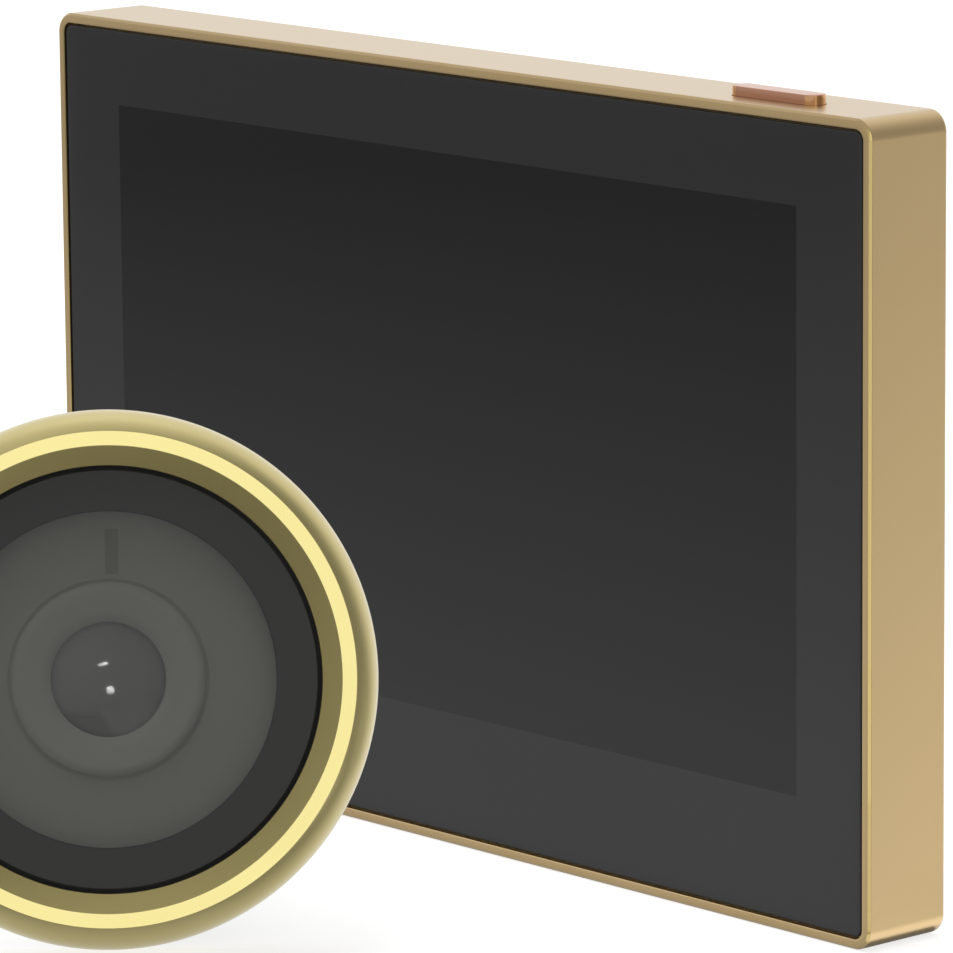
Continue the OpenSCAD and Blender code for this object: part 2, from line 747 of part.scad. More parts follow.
module bezel_profile() {
    skirt_ri = bezel_r - bezel_wall;
    polygon([[bezel_ri, bezel_flange_z0], [skirt_ri, bezel_flange_z0], [skirt_ri, bezel_back],
        [bezel_r, bezel_back], [bezel_r, shoulder_z], [land_ro, shoulder_z], [land_ro, bezel_front],
        [land_ri, bezel_front], [bezel_ri, bezel_in_z]]);
    // Rounded shoulder outside the flat
    intersection() {
        translate([bezel_r - shoulder_r, shoulder_z]) circle(shoulder_r);
        translate([land_ro - eps, shoulder_z - eps])
            square([bezel_r - land_ro + eps, bezel_front - shoulder_z + eps]);
    }
}

module bezel_ring() color(bright_gold) in_camera() difference() {
    rotate_extrude() bezel_profile();
    at_bezel_screws() bar_z(bezel_screw_r + screw_gap, bezel_flange_z0 - eps, bezel_screw_z1 + part_gap);
}

module bezel_gasket() color(rubber) in_camera() difference() {
    ring(housing_r, housing_ri, housing_z1, bezel_flange_z0);
    at_bezel_screws() bar_z(bezel_screw_r + screw_gap, housing_z1 - eps, bezel_flange_z0 + eps);
}

module camera_housing() color(black) in_camera() difference() {
    bar_z(housing_r, seal_t, housing_z1);
    bar_z(housing_ri, cam_board_z0, housing_z1 + eps);
    bar_z(housing_ri - board_seat_w, floor_z1, cam_board_z0 + eps);
    bar_z(barrel_ri, seal_t - eps, floor_z1 + eps);
    at_bezel_screws() {
        bar_z(bezel_screw_r + screw_gap, seal_t - eps, housing_z1 + eps);
        bar_z(bezel_head_r + screw_gap, seal_t - eps, seal_t + bezel_head_t);
    }
    at_barrel_screws() bar_z(barrel_screw_r + screw_gap, seal_t - eps, floor_z1 + eps);
}

module bezel_screws() color(steel) in_camera() at_bezel_screws() {
    bar_z(bezel_head_r, seal_t + screw_gap, seal_t + bezel_head_t);
    bar_z(bezel_screw_r, seal_t + bezel_head_t - eps, bezel_screw_z1);
}

module face_glass() color(smoke) in_camera() bar_z(face_r, face_z0, face_z1);

module face_carrier() color(black) in_camera() difference() {
    union() {
        ring(face_r - part_gap, carrier_ri, carrier_z1 - eps, face_z0);
        ring(carrier_lip_r, carrier_ri, carrier_z0, carrier_z1);
    }
    round_copies(led_n, led_at) bar_z(led_r + part_gap, carrier_z0 - eps, face_z0 + eps);
}

module inner_shield() color(smoke) in_camera() difference() {
    ring(window_r, lens_r + part_gap, shield_z0, shield_z1);
    // Upright light slot above the lens
    translate([-trim_r - shield_slot_in - shield_slot_l, -shield_slot_w / 2, shield_z1 - shield_t / 2])
        cube([shield_slot_l, shield_slot_w, shield_t]);
}

module lens_trim_ring() color(smoke) in_camera() rotate_extrude()
    polygon([[lens_r + part_gap, shield_z1], [trim_r, shield_z1], [trim_r, shield_z1 + trim_top - trim_lip],
        [trim_r - trim_lip, shield_z1 + trim_top], [trim_r - 2 * trim_lip, shield_z1 + trim_top],
        [lens_r + part_gap, shield_z1 + trim_lip]]);

module lens_barrel() color(black) in_camera() difference() {
    union() {
        bar_z(lens_seat_r, cam_board_z1, shield_z0);
        bar_z(lens_r, shield_z0 - eps, lens_z0);
    }
    bar_z(lens_ri, cam_board_z1 - eps, lens_z0 + eps);
}

module front_lens() color(black_glass) in_camera() {
    dome_r = (lens_r * lens_r + lens_sag * lens_sag) / (2 * lens_sag);
    rotate_extrude() intersection() {
        translate([0, lens_z1 - dome_r]) circle(dome_r, $fn = 720);
        translate([0, lens_z0]) square([lens_r, lens_sag]);
    }
}

module image_sensor() color(dark_grey) in_camera()
    block([-sensor_w / 2, -sensor_w / 2, cam_board_z1],
        [sensor_w / 2, sensor_w / 2, cam_board_z1 + sensor_t]);

module camera_board() color(green) in_camera() bar_z(cam_board_r, cam_board_z0, cam_board_z1);

module infrared_lamps() color(dark_grey) in_camera()
    round_copies(led_n, led_at) bar_z(led_r, cam_board_z1, led_z1);

module bell_switches() color(black) in_camera()
    round_copies(bell_switch_n, bell_switch_at, 180 / led_n)
        block([-bell_switch_w / 2, -bell_switch_w / 2, cam_board_z1],
            [bell_switch_w / 2, bell_switch_w / 2, bell_switch_z1]);

module call_speaker() color(black) in_camera()
    translate([sound_at, 0, 0]) bar_z(sound_r, cam_board_z1, cam_board_z1 + sound_t);

module call_microphone() color(steel) in_camera()
    translate([0, sound_at, 0]) bar_z(call_mic_r, cam_board_z1, cam_board_z1 + sound_t);

module door_seal() color(rubber) in_camera() ring(seal_ro, seal_ri, 0, seal_t);

module threaded_barrel() color(steel) in_camera() ring(barrel_r, barrel_ri, -barrel_len, seal_t);

// Foot that the barrel is pressed into
module barrel_flange() color(steel) in_camera() difference() {
    ring(barrel_foot_r, barrel_r, barrel_foot_z0, seal_t);
    at_barrel_screws() {
        bar_z(barrel_screw_r + screw_gap, barrel_foot_z0 - eps, seal_t + eps);
        bar_z(barrel_head_r + screw_gap, barrel_foot_z0 - eps, barrel_foot_z0 + barrel_head_t);
    }
}

module barrel_screws() color(steel) in_camera() at_barrel_screws() {
    bar_z(barrel_head_r, barrel_foot_z0 + screw_gap, barrel_foot_z0 + barrel_head_t);
    bar_z(barrel_screw_r, barrel_foot_z0 + barrel_head_t - eps, floor_z1);
}

module slip_washer() color(rubber) in_camera()
    ring(flange_r - washer_in, tube_r + tube_gap, flange_z1, washer_z1);

module door_tube() color(gold) in_camera() ring(tube_r, cable_r, flange_z0, tube_z1);

// Indoor flange, pressed onto the tube and turned by a pin spanner
module indoor_flange() color(gold) in_camera() difference() {
    ring(flange_r, tube_r, flange_z0, flange_z1);
    round_copies(spanner_n, spanner_at) bar_z(spanner_r, flange_z0 - eps, flange_z1 + eps);
}

front_frame();
cover_glass();
glass_gasket();
lcd_panel();
backlight_tray();
chassis_plate();
main_board();
processor_shield();
radio_module();
radio_antenna();
battery_pack();
speaker();
microphone();
charging_socket();
camera_socket();
button_switch();
power_button();
back_cover();
back_screws();
board_screws();
wall_bracket();
adhesive_pads();
bezel_ring();
bezel_gasket();
camera_housing();
face_glass();
face_carrier();
inner_shield();
lens_trim_ring();
lens_barrel();
front_lens();
image_sensor();
camera_board();
infrared_lamps();
bell_switches();
call_speaker();
call_microphone();
bezel_screws();
door_seal();
barrel_flange();
threaded_barrel();
barrel_screws();
slip_washer();
door_tube();
indoor_flange();
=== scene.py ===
# %% [markdown]
# # A peephole door camera
#
# The set has two units. A flat screen unit hangs on a bracket inside the door, and a round camera
# looks out through the old peephole, held by a tube that screws into it from indoors. Here both
# stand on a table.
#
# The exact solids come first, as a fixed frame. Every piece below is drawn in that same frame and
# rides on one of its bodies, so the buttons, the bracket and the door tube keep working.

# %% The fixed frame
import json

import bmesh
import bpy
import numpy as np
from mathutils import Matrix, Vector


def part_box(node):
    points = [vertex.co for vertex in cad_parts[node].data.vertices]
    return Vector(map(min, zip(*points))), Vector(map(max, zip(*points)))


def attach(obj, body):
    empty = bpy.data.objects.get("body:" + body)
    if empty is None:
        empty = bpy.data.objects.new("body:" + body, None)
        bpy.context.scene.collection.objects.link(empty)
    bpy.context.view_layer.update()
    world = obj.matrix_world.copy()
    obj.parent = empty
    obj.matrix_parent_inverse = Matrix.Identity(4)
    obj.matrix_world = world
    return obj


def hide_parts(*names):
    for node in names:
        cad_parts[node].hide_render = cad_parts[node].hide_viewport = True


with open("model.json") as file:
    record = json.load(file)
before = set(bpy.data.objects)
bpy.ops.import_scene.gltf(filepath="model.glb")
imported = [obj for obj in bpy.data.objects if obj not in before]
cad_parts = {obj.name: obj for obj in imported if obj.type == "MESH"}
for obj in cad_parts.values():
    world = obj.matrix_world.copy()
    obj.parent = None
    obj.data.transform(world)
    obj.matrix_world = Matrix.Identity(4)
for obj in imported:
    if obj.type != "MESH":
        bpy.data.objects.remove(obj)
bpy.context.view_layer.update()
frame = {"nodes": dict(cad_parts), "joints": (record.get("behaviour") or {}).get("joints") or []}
solids = frame["nodes"]

# %% [markdown]
# ## Measuring the solids
#
# Blender counts in metres and a maker in millimetres, so the pieces are worked out in millimetres
# and turned to metres at the end. Sizes are read from the solids, not typed again. The screen unit
# stands square, so the corners of a solid's box are enough. The round camera leans back. Its door
# tube turns about the camera's own axis, so that joint gives the axis and the point where it meets
# the door, and radii are measured about it.

# %% Axes and sizes
spin = next(joint for joint in frame["joints"] if joint["name"] == "tube_spin")
DOOR = np.array(spin["pos_m"]) * 1000
AXIS = np.array(spin["axis"])
# Millimetres: a clearance too small to see, and how far a cutting tool reaches past the stock.
HAIR, PAST = 0.01, 0.5


def unit(vector):
    """The vector made one long."""
    return vector / np.linalg.norm(vector)


level_side = unit(np.cross((0, 0, 1), AXIS))
STAND = np.column_stack([np.cross(level_side, AXIS), level_side, AXIS])


def placed(name, data):
    """New object in the scene."""
    made = bpy.data.objects.new(name, data)
    bpy.context.scene.collection.objects.link(made)
    return made


def read(items, field, width=3, kind=float):
    """One field of many mesh elements as an array with a row for each."""
    flat = np.zeros(len(items) * width, kind)
    items.foreach_get(field, flat)
    return flat.reshape(-1, width)


def corners_of(node):
    """Lowest and highest corner of a solid, in millimetres."""
    low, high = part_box(node)
    return np.array(low) * 1000, np.array(high) * 1000


def own_axes(points):
    """Points in the round camera's own axes: moved to the door point, then turned back from its stand."""
    return (points - DOOR) @ STAND


def stood(points):
    """The other way: points from the camera's own axes, turned and moved to where it stands."""
    return points @ STAND.T + DOOR


def span_of(node):
    """Inner and outer radius, and lowest and highest z, of a solid about the round camera's axis."""
    own = own_axes(read(solids[node].data.vertices, "co") * 1000)
    radius = np.hypot(own[:, 0], own[:, 1])
    return radius.min(), radius.max(), own[:, 2].min(), own[:, 2].max()


print("camera axis", AXIS.round(3), "and its ring", np.round(span_of("bezel_ring"), 2))

# %% [markdown]
# ## Where the photograph was taken from
#
# Straight edges of the screen unit fix the camera: its long lens stands about a metre away, turned
# to the right of the screen and a little above it. Blender could aim a camera with a constraint,
# but the picture is also rolled by half a degree, so the three axes are worked out and written into
# the camera's matrix.

# %% The photograph's camera
EYE = np.array([0.765102, -0.677025, 0.249859])
heading, dip, roll = np.radians([48.516, 10.72, 0.517])

forward = np.array([-np.sin(heading) * np.cos(dip), np.cos(heading) * np.cos(dip), -np.sin(dip)])
right = np.array([np.cos(heading), np.sin(heading), 0.0])
down = np.cross(forward, right)
right, down = np.cos(roll) * right + np.sin(roll) * down, np.cos(roll) * down - np.sin(roll) * right

SENSOR, FOCAL = 36.0, 255.91
lens = bpy.data.cameras.new("photograph")
lens.sensor_width = SENSOR
lens.lens = FOCAL
viewer = placed("photograph", lens)
viewer.matrix_world = Matrix.Translation(EYE) @ Matrix(np.column_stack([right, -down, -forward])).to_4x4()
bpy.context.scene.camera = viewer
bpy.context.scene.view_settings.view_transform = "Standard"
print("camera looks along", forward.round(3))

# %% [markdown]
# ## Small tools for finishes
#
# Colours are easiest to read as the hex values of a paint chart, while a shader counts light, so
# one function turns the first into the second. Node trees get long when every node is set up by
# hand, so one function adds a node with its settings and its links, and short ones make those that
# come back often.

# %% Colour and node tools
def light_of(chart):
    """Hex colour as linear light: c / 12.92 for the darkest part, ((c + 0.055) / 1.055) ** 2.4 above it."""
    tone = np.array([int(chart[i:i + 2], 16) for i in (1, 3, 5)]) / 255
    return (*np.where(tone <= 0.04045, tone / 12.92, ((tone + 0.055) / 1.055) ** 2.4).tolist(), 1.0)


def add(tree, kind, inputs=(), **settings):
    """Adds one node. Settings are its own properties; inputs gives each socket a value or a link."""
    made = tree.nodes.new("ShaderNode" + kind)
    for name, value in settings.items():
        setattr(made, name, value)
    for socket, value in dict(inputs).items():
        if isinstance(value, bpy.types.NodeSocket):
            tree.links.new(value, made.inputs[socket])
        else:
            made.inputs[socket].default_value = value
    return made


def maths(tree, operation, first, second=0.0):
    """Result of one operation on two values."""
    return add(tree, "Math", {0: first, 1: second}, operation=operation).outputs["Value"]


def vectors(tree, operation, first, second=(0, 0, 0), result="Vector"):
    """Result of one operation on two vectors: a vector, or the value of a length or a dot product."""
    return add(tree, "VectorMath", {0: first, 1: second}, operation=operation).outputs[result]


def ramp(tree, value, start, end, low=0.0, high=1.0, curve="LINEAR"):
    """Fade from low, where the value is at the start or before it, to high at the end and beyond."""
    sockets = {"Value": value, "From Min": start, "From Max": end, "To Min": low, "To Max": high}
    return add(tree, "MapRange", sockets, interpolation_type=curve).outputs["Result"]


def blend(tree, factor, first, second, kind="FLOAT"):
    """Value, or colour of kind RGBA, that goes from the first to the second with the factor."""
    made = add(tree, "Mix", {"Factor": factor, "A": first, "B": second}, data_type=kind)
    return made.outputs[2 if kind == "RGBA" else 0]


def here(tree):
    """Object coordinates of the point that is shaded, in metres."""
    return add(tree, "TexCoord").outputs["Object"]


print("gold is", np.round(light_of("#C4A778")[:3], 3), "in linear light")

# %% [markdown]
# ## A pale studio
#
# Metal and glass show their surroundings more than their own colour, so the studio is part of the
# finish. The room is a pale dome: bright behind the viewer, dim in a belt round that, and brighter
# again overhead and behind the object, with a weak window glow before the screen. The belt is what
# draws the dark line beside a bright edge. The floor is a white sheet, and a soft lamp overhead casts
# the shadow on it. Reflections don't meet that lamp, so no hot square lands on the rings.

# %% Room, floor and lamp
def seen_directly(tree):
    """1 where the viewer looks straight or through glass, 0 where light only bounces."""
    path = add(tree, "LightPath").outputs
    return maths(tree, "MAXIMUM", path["Is Camera Ray"], path["Is Transmission Ray"])


DIM, WINDOW_WAY = 0.25, (0.08, -0.86, 0.50)
room = bpy.data.worlds.new("pale studio")
room.use_nodes = True
bpy.context.scene.world = room
tree = room.node_tree
way = add(tree, "TexCoord").outputs["Generated"]
facing = vectors(tree, "DOT_PRODUCT", way, AXIS, "Value")
window = vectors(tree, "DOT_PRODUCT", way, WINDOW_WAY, "Value")
height = add(tree, "SeparateXYZ", {"Vector": way}).outputs["Z"]
glow = DIM
for value, start, full, gain in ((facing, 0.78, 0.95, 0.76), (facing, 0.35, -0.40, 0.78),
                                 (height, 0.75, 1.0, 0.55), (window, 0.66, 0.95, 0.35)):
    glow = maths(tree, "ADD", ramp(tree, value, start, full, 0.0, gain, "SMOOTHSTEP"), glow)
background = tree.nodes["Background"].inputs
background["Color"].default_value = (1, 1, 1, 1)
tree.links.new(blend(tree, seen_directly(tree), glow, 1.0), background["Strength"])


def flat_sheet(name, corners):
    """Flat stage piece from its corners in metres, with an empty material whose tree is returned."""
    sheet = bpy.data.meshes.new(name)
    sheet.from_pydata(corners, [], [range(len(corners))])
    stands = placed(name, sheet)
    paper = bpy.data.materials.new(name)
    paper.use_nodes = True
    paper.node_tree.nodes.remove(paper.node_tree.nodes["Principled BSDF"])
    sheet.materials.append(paper)
    return stands, paper.node_tree


def level_sheet(left, right, front, back, height):
    """Corners of a level rectangle."""
    return [(left, front, height), (right, front, height), (right, back, height), (left, back, height)]


# A fade says where it starts and ends, in metres, and its glow at both ends.
FLOOR, FLOOR_Z, FLOOR_POOL_GLOW, SHOWN, SHADE = 4, -1e-4, (0.05, 0.8, 0.68, 0.47), 0.76, 0.4
tree = flat_sheet("white paper floor", level_sheet(-FLOOR, FLOOR, -FLOOR, FLOOR, FLOOR_Z))[1]
# In reflections the floor glows brighter near the object than far off: a painted pool of light.
pool = ramp(tree, vectors(tree, "LENGTH", here(tree), result="Value"), *FLOOR_POOL_GLOW)
mirrored = maths(tree, "MULTIPLY", add(tree, "LightPath").outputs["Is Glossy Ray"], pool)
lift = maths(tree, "MAXIMUM", maths(tree, "MULTIPLY", seen_directly(tree), SHOWN), mirrored)
bright = add(tree, "Emission", {"Strength": lift})
matt = add(tree, "BsdfDiffuse", {"Color": (SHADE, SHADE, SHADE, 1)})
total = add(tree, "AddShader", {0: matt.outputs["BSDF"], 1: bright.outputs["Emission"]})
tree.links.new(total.outputs["Shader"], tree.nodes["Material Output"].inputs["Surface"])


def lamp(name, place, aim, size, watts, tilt=0.0):
    """Oval area lamp at a place in metres, facing its aim and tilted about that line."""
    box = bpy.data.lights.new(name, "AREA")
    box.shape = "ELLIPSE"
    box.size, box.size_y = size
    box.energy = watts
    hung = placed(name, box)
    back = unit(np.array(place) - aim)
    side = unit(np.cross((0.0, 0.0, 1.0), back))
    turn = Matrix(np.column_stack([side, np.cross(back, side), back])).to_4x4()
    hung.matrix_world = Matrix.Translation(place) @ (turn @ Matrix.Rotation(tilt, 4, "Z"))
    return hung


overhead = lamp("overhead softbox", place=(-0.25, -0.35, 1.5), aim=(0.0, -0.03, 0.05), size=(1.2, 1.2),
                watts=13.0)
overhead.visible_glossy = False
print("studio: a room, a floor and", len(bpy.data.lights), "lamp")

# %% [markdown]
# ## Cards for the reflections
#
# A photographer places cards just out of sight so that metal and glass have something plain to
# mirror. A white one stands between the two units: its front keeps the ring's far edge light, and its
# back gives the glass a smooth gradient instead of the camera's rear. A grey one before the ring draws
# the darker line round its shoulder. A dark one below the frame and a light one beside it draw the line
# where the frame stands, and a small one keeps the grey out of the frame's cut edge. Only reflections
# meet the cards.

# %% Cards
def card(name, corners, level=1.0):
    """Glowing sheet that only reflections meet. Returns its node tree and the socket of its glow."""
    sheet, tree = flat_sheet(name, corners)
    sheet.visible_camera = sheet.visible_diffuse = sheet.visible_transmission = sheet.visible_shadow = False
    glow = add(tree, "Emission", {"Strength": level})
    tree.links.new(glow.outputs["Emission"], tree.nodes["Material Output"].inputs["Surface"])
    print(name, "in place")
    return tree, glow.inputs["Strength"]


def standing(foot_a, foot_b, top):
    """Corners of a sheet that stands on the line between two points of the floor."""
    return [(*foot_a, 0), (*foot_b, 0), (*foot_b, top), (*foot_a, top)]


SCREEN_FRONT = corners_of("front_frame")[0][1] / 1000
CARD_Y, CARD_RIGHT, CARD_LEFT, CARD_TOP = SCREEN_FRONT - 0.004, 0.096, -0.25, 0.16
RING_FADE, GLASS_FADE, GLASS_WAY = (0.045, 0.085, 1.05, 0.28), (0.02, 0.105, 1.0, 0.36), (-0.08, 0, 1)
BORDER_GLOW, BORDER_EDGE = 0.6, 6e-4
tree, strength = card("white card", standing((CARD_LEFT, CARD_Y), (CARD_RIGHT, CARD_Y), CARD_TOP))
place = here(tree)
ring_side = ramp(tree, add(tree, "SeparateXYZ", {"Vector": place}).outputs["X"], *RING_FADE)
glass_side = ramp(tree, vectors(tree, "DOT_PRODUCT", place, GLASS_WAY, "Value"), *GLASS_FADE)
# Outside the glass's outline, as the viewer sees it, the frame's rim meets an even glow.
glass_low, glass_high = np.array(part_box("cover_glass"))
seen_at = (glass_low + glass_high) / 2 + forward * (SCREEN_FRONT - CARD_Y) / forward[1]
beside = vectors(tree, "ABSOLUTE", vectors(tree, "SUBTRACT", place, seen_at))
beyond = vectors(tree, "SUBTRACT", beside, (glass_high - glass_low) / 2)
beyond = add(tree, "SeparateXYZ", {"Vector": beyond}).outputs
border = ramp(tree, maths(tree, "MAXIMUM", beyond["X"], beyond["Z"]), 0.0, BORDER_EDGE)
glass_side = blend(tree, border, glass_side, BORDER_GLOW)
behind = add(tree, "NewGeometry").outputs["Backfacing"]
tree.links.new(blend(tree, behind, ring_side, glass_side), strength)

CARD_START, CARD_END, CARD_REACH, CARD_Z = 0.060, 0.125, 1.5, 2e-4
GREY_FADE = (CARD_START, 0.095, 0.95, 0.22)
ahead = unit(AXIS[:2])
aside = np.array([-ahead[1], ahead[0]])
lies = np.array([CARD_START * ahead - 0.40 * aside, 0.35 * ahead - 0.40 * aside, 0.35 * ahead - 0.08 * aside,
                 CARD_END * ahead - 0.05 * aside, CARD_END * ahead + 0.065 * aside, (CARD_REACH, -0.6),
                 (CARD_REACH, 1.15), (0.30, 0.125), (0.14, 0.010), (0.115, -0.002), (0.104, -0.010),
                 CARD_START * ahead + 0.022 * aside])
tree, strength = card("grey card", np.column_stack([lies, np.full(len(lies), CARD_Z)]))
outwards = vectors(tree, "DOT_PRODUCT", here(tree), (*ahead, 0.0), "Value")
tree.links.new(ramp(tree, outwards, *GREY_FADE), strength)

FRAME_SIDE, FRAME_BACK = corners_of("front_frame")[1][:2] / 1000
SHADE_FADE = (SCREEN_FRONT, SCREEN_FRONT + 0.001, 0.55, 0.2)
BELOW, STRIP, STRIP_AHEAD, STRIP_GLOW = -5e-5, 0.005, 0.01, 1.5
tree, strength = card("shade card", level_sheet(-FRAME_SIDE, FRAME_SIDE, CARD_Y, FRAME_BACK, BELOW))
depth = add(tree, "SeparateXYZ", {"Vector": here(tree)}).outputs["Y"]
tree.links.new(ramp(tree, depth, *SHADE_FADE), strength)
strip = level_sheet(FRAME_SIDE, FRAME_SIDE + STRIP, SCREEN_FRONT, FRAME_BACK + STRIP_AHEAD, BELOW)
card("light strip", strip, STRIP_GLOW)

EDGE_AWAY, EDGE_HALF = np.array([0.0065, -0.0074]), np.array([0.0037, 0.0033])
EDGE_TOP, EDGE_GLOW = 0.02, 0.98
edge_at = (FRAME_SIDE, SCREEN_FRONT) + EDGE_AWAY
card("edge card", standing(edge_at - EDGE_HALF, edge_at + EDGE_HALF, EDGE_TOP), EDGE_GLOW)

# %% [markdown]
# ## From arrays to pieces
#
# Nearly every piece here is a profile, carried round a rounded rectangle or turned round the camera's
# axis. Both are a grid of points. Some helpers round a profile's corners, since no machined edge is
# perfectly sharp, some make the grids, and the rest turn grids into meshes that ride on their bodies.
# Cutting a hole is the one job where Blender's Boolean beats arithmetic.

# %% Profiles and grids
def soften(corners, reach, steps=4):
    """Closed profile with soft corners. Each corner p becomes the parabola
    (1 - s)^2 a + 2 s (1 - s) p + s^2 b, where a and b lie the reach before and after p."""
    p = np.asarray(corners, float)
    reach = np.broadcast_to(np.asarray(reach, float), len(p))[:, None]
    before, after = np.roll(p, 1, axis=0) - p, np.roll(p, -1, axis=0) - p
    a = p + reach * before / np.linalg.norm(before, axis=1, keepdims=True)
    b = p + reach * after / np.linalg.norm(after, axis=1, keepdims=True)
    s = np.linspace(0, 1, steps + 1)[None, :, None]
    line = ((1 - s) ** 2 * a[:, None] + 2 * s * (1 - s) * p[:, None] + s ** 2 * b[:, None]).reshape(-1, 2)
    return line[np.linalg.norm(line - np.roll(line, 1, axis=0), axis=1) > 1e-6]


def carried(profile, width, height, corner, steps=14):
    """Profile of (inset, level) carried round a rounded rectangle: an inset corner keeps its centre,
    with the radius (corner - inset), until the radius is used up and the corner itself moves in."""
    inset, level = profile[:, :1], profile[:, 1:]
    turn = (np.arange(4)[:, None] * np.pi / 2 + np.linspace(0, np.pi / 2, steps + 1)).ravel()
    side_a = np.repeat([1, -1, -1, 1], steps + 1)
    side_b = np.repeat([1, 1, -1, -1], steps + 1)
    radius, centre = np.maximum(corner - inset, 0), np.maximum(corner, inset)
    a = side_a * np.maximum(width / 2 - centre, 0) + radius * np.cos(turn)
    b = side_b * np.maximum(height / 2 - centre, 0) + radius * np.sin(turn)
    return np.stack(np.broadcast_arrays(a, b, level), axis=-1)


def spun(radius, z, t):
    """Grid (r cos t, r sin t, z) of a surface that goes round the z axis, r and z varying down its rows."""
    return np.stack(np.broadcast_arrays(radius * np.cos(t), radius * np.sin(t), z), axis=-1)


def lathed(profile, t):
    """Profile of (radius, z) spun round the z axis at the angles t."""
    return spun(profile[:, :1], profile[:, 1:], t)


def once_round(steps):
    """Angles of one full turn in equal steps, without the last, which is the first again."""
    return np.linspace(0, 2 * np.pi, steps, endpoint=False)


def turned(profile, steps=256):
    """Profile of (radius, z) turned round the camera's axis and stood in its place."""
    return stood(lathed(profile, once_round(steps)))


def rounding(radius, face, inwards, steps):
    """Quarter round: inset r (1 - cos t), level r (1 - sin t) inwards of a face. Inwards is 1 or -1."""
    turn = np.linspace(0, np.pi / 2, steps)
    return np.column_stack([radius * (1 - np.cos(turn)), face + inwards * radius * (1 - np.sin(turn))])


def bar(width, depth, corner, low, high, x=0.0, y=0.0):
    """Closed upright bar whose plan is a rounded rectangle, as a cutting tool or a small block."""
    half = min(width, depth) / 2
    outline = np.array([[half, low], [0, low], [0, high], [half, high]])
    return carried(outline, width, depth, corner, 6) + (x, y, 0)


def rod(radius, low, high, out=0.0, angle=0.0, steps=32):
    """Closed round rod along z, standing at a distance and an angle from the axis."""
    ends = np.array([[0, low], [radius, low], [radius, high], [0, high]])
    return lathed(ends, once_round(steps)) + (out * np.cos(angle), out * np.sin(angle), 0)


print("grids: carried, spun, lathed, turned, bar, rod")


# %% Meshes and pieces
def mesh_of(name, *grids, ring=False):
    """One mesh, in metres, from grids of millimetre points. Columns close on themselves, and rows too in a
    ring. Poles and seams are merged and the faces turned outwards."""
    corners, quads, count = [], [], 0
    for points in grids:
        rows, columns = points.shape[:2]
        number = np.arange(rows * columns).reshape(rows, columns) + count
        number = np.hstack([number, number[:, :1]])
        if ring:
            number = np.vstack([number, number[:1]])
        quad = np.stack([number[:-1, :-1], number[:-1, 1:], number[1:, 1:], number[1:, :-1]], axis=-1)
        corners.append(points.reshape(-1, 3))
        quads.append(quad.reshape(-1, 4))
        count += rows * columns
    made = bpy.data.meshes.new(name)
    made.from_pydata(np.vstack(corners) / 1000, [], np.vstack(quads))
    work = bmesh.new()
    work.from_mesh(made)
    bmesh.ops.remove_doubles(work, verts=work.verts, dist=2e-7)
    bmesh.ops.recalc_face_normals(work, faces=work.faces)
    work.to_mesh(made)
    work.free()
    return made


def cut_from(made, *tools):
    """The mesh with the closed tool meshes taken out of it."""
    stock = placed("stock", made)
    cutters = [placed("cutter", tool) for tool in tools]
    for cutter in cutters:
        stock.modifiers.new("cut", "BOOLEAN").object = cutter
    bpy.context.view_layer.update()
    left = bpy.data.meshes.new_from_object(stock.evaluated_get(bpy.context.evaluated_depsgraph_get()))
    for thing in [stock, *cutters]:
        bpy.data.objects.remove(thing)
    return left


def piece(name, made, body, surface, stands_for=(), crease=35):
    """Puts a mesh in the scene with its finish and lets it ride on a body, in place of some solids."""
    made.shade_smooth()
    made.set_sharp_from_angle(angle=np.radians(crease))
    shown = placed(name, made)
    shown.modifiers.new("even shading", "WEIGHTED_NORMAL").keep_sharp = True
    made.materials.clear()
    made.materials.append(surface)
    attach(shown, body)
    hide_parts(*stands_for)
    edges = read(made.loops, "edge_index", 1, np.int32).ravel()
    print(f"{name}: {len(made.polygons)} faces, {np.sum(np.bincount(edges) == 1)} open edges")
    return shown


def turned_ring(name, profile, body, surface, node, steps=192):
    """Piece that is one closed profile turned round the camera's axis, in place of one solid."""
    made = mesh_of(name.replace("_", " "), turned(profile, steps), ring=True)
    piece(name, made, body, surface, [node])


def faces_of(made):
    """Centre, in millimetres, and outward normal of every face."""
    return read(made.polygons, "center") * 1000, read(made.polygons, "normal")


def paint(made, surface, chosen):
    """Gives one more finish to the chosen faces, a mask over all of them."""
    index = read(made.polygons, "material_index", 1, np.int32).ravel()
    index[chosen] = len(made.materials)
    made.materials.append(surface)
    made.polygons.foreach_set("material_index", index)
    print(f"{surface.name}: {np.sum(chosen)} faces")


print("tools: mesh_of, cut_from, piece, turned_ring, paint")

# %% [markdown]
# ## What most finishes have in common
#
# Anodising, moulding and plating leave a surface that is nearly even: its tone and its gloss drift a
# little over some distance, and finer pits or grain break up the highlights. One function makes that
# from two noises whose sizes are given in millimetres, and a finish that needs more adds to it.

# %% A finish from two noises
def per_mm(size):
    """Texture scale for a pattern whose repeat measures this many millimetres, in metre coordinates."""
    return 1000.0 / size


def dent(tree, pattern, depth):
    """Dents a finish by a pattern, this deep in millimetres."""
    bump = add(tree, "Bump", {"Height": pattern, "Strength": 0.5, "Distance": depth / 1000})
    tree.links.new(bump.outputs["Normal"], tree.nodes["Principled BSDF"].inputs["Normal"])


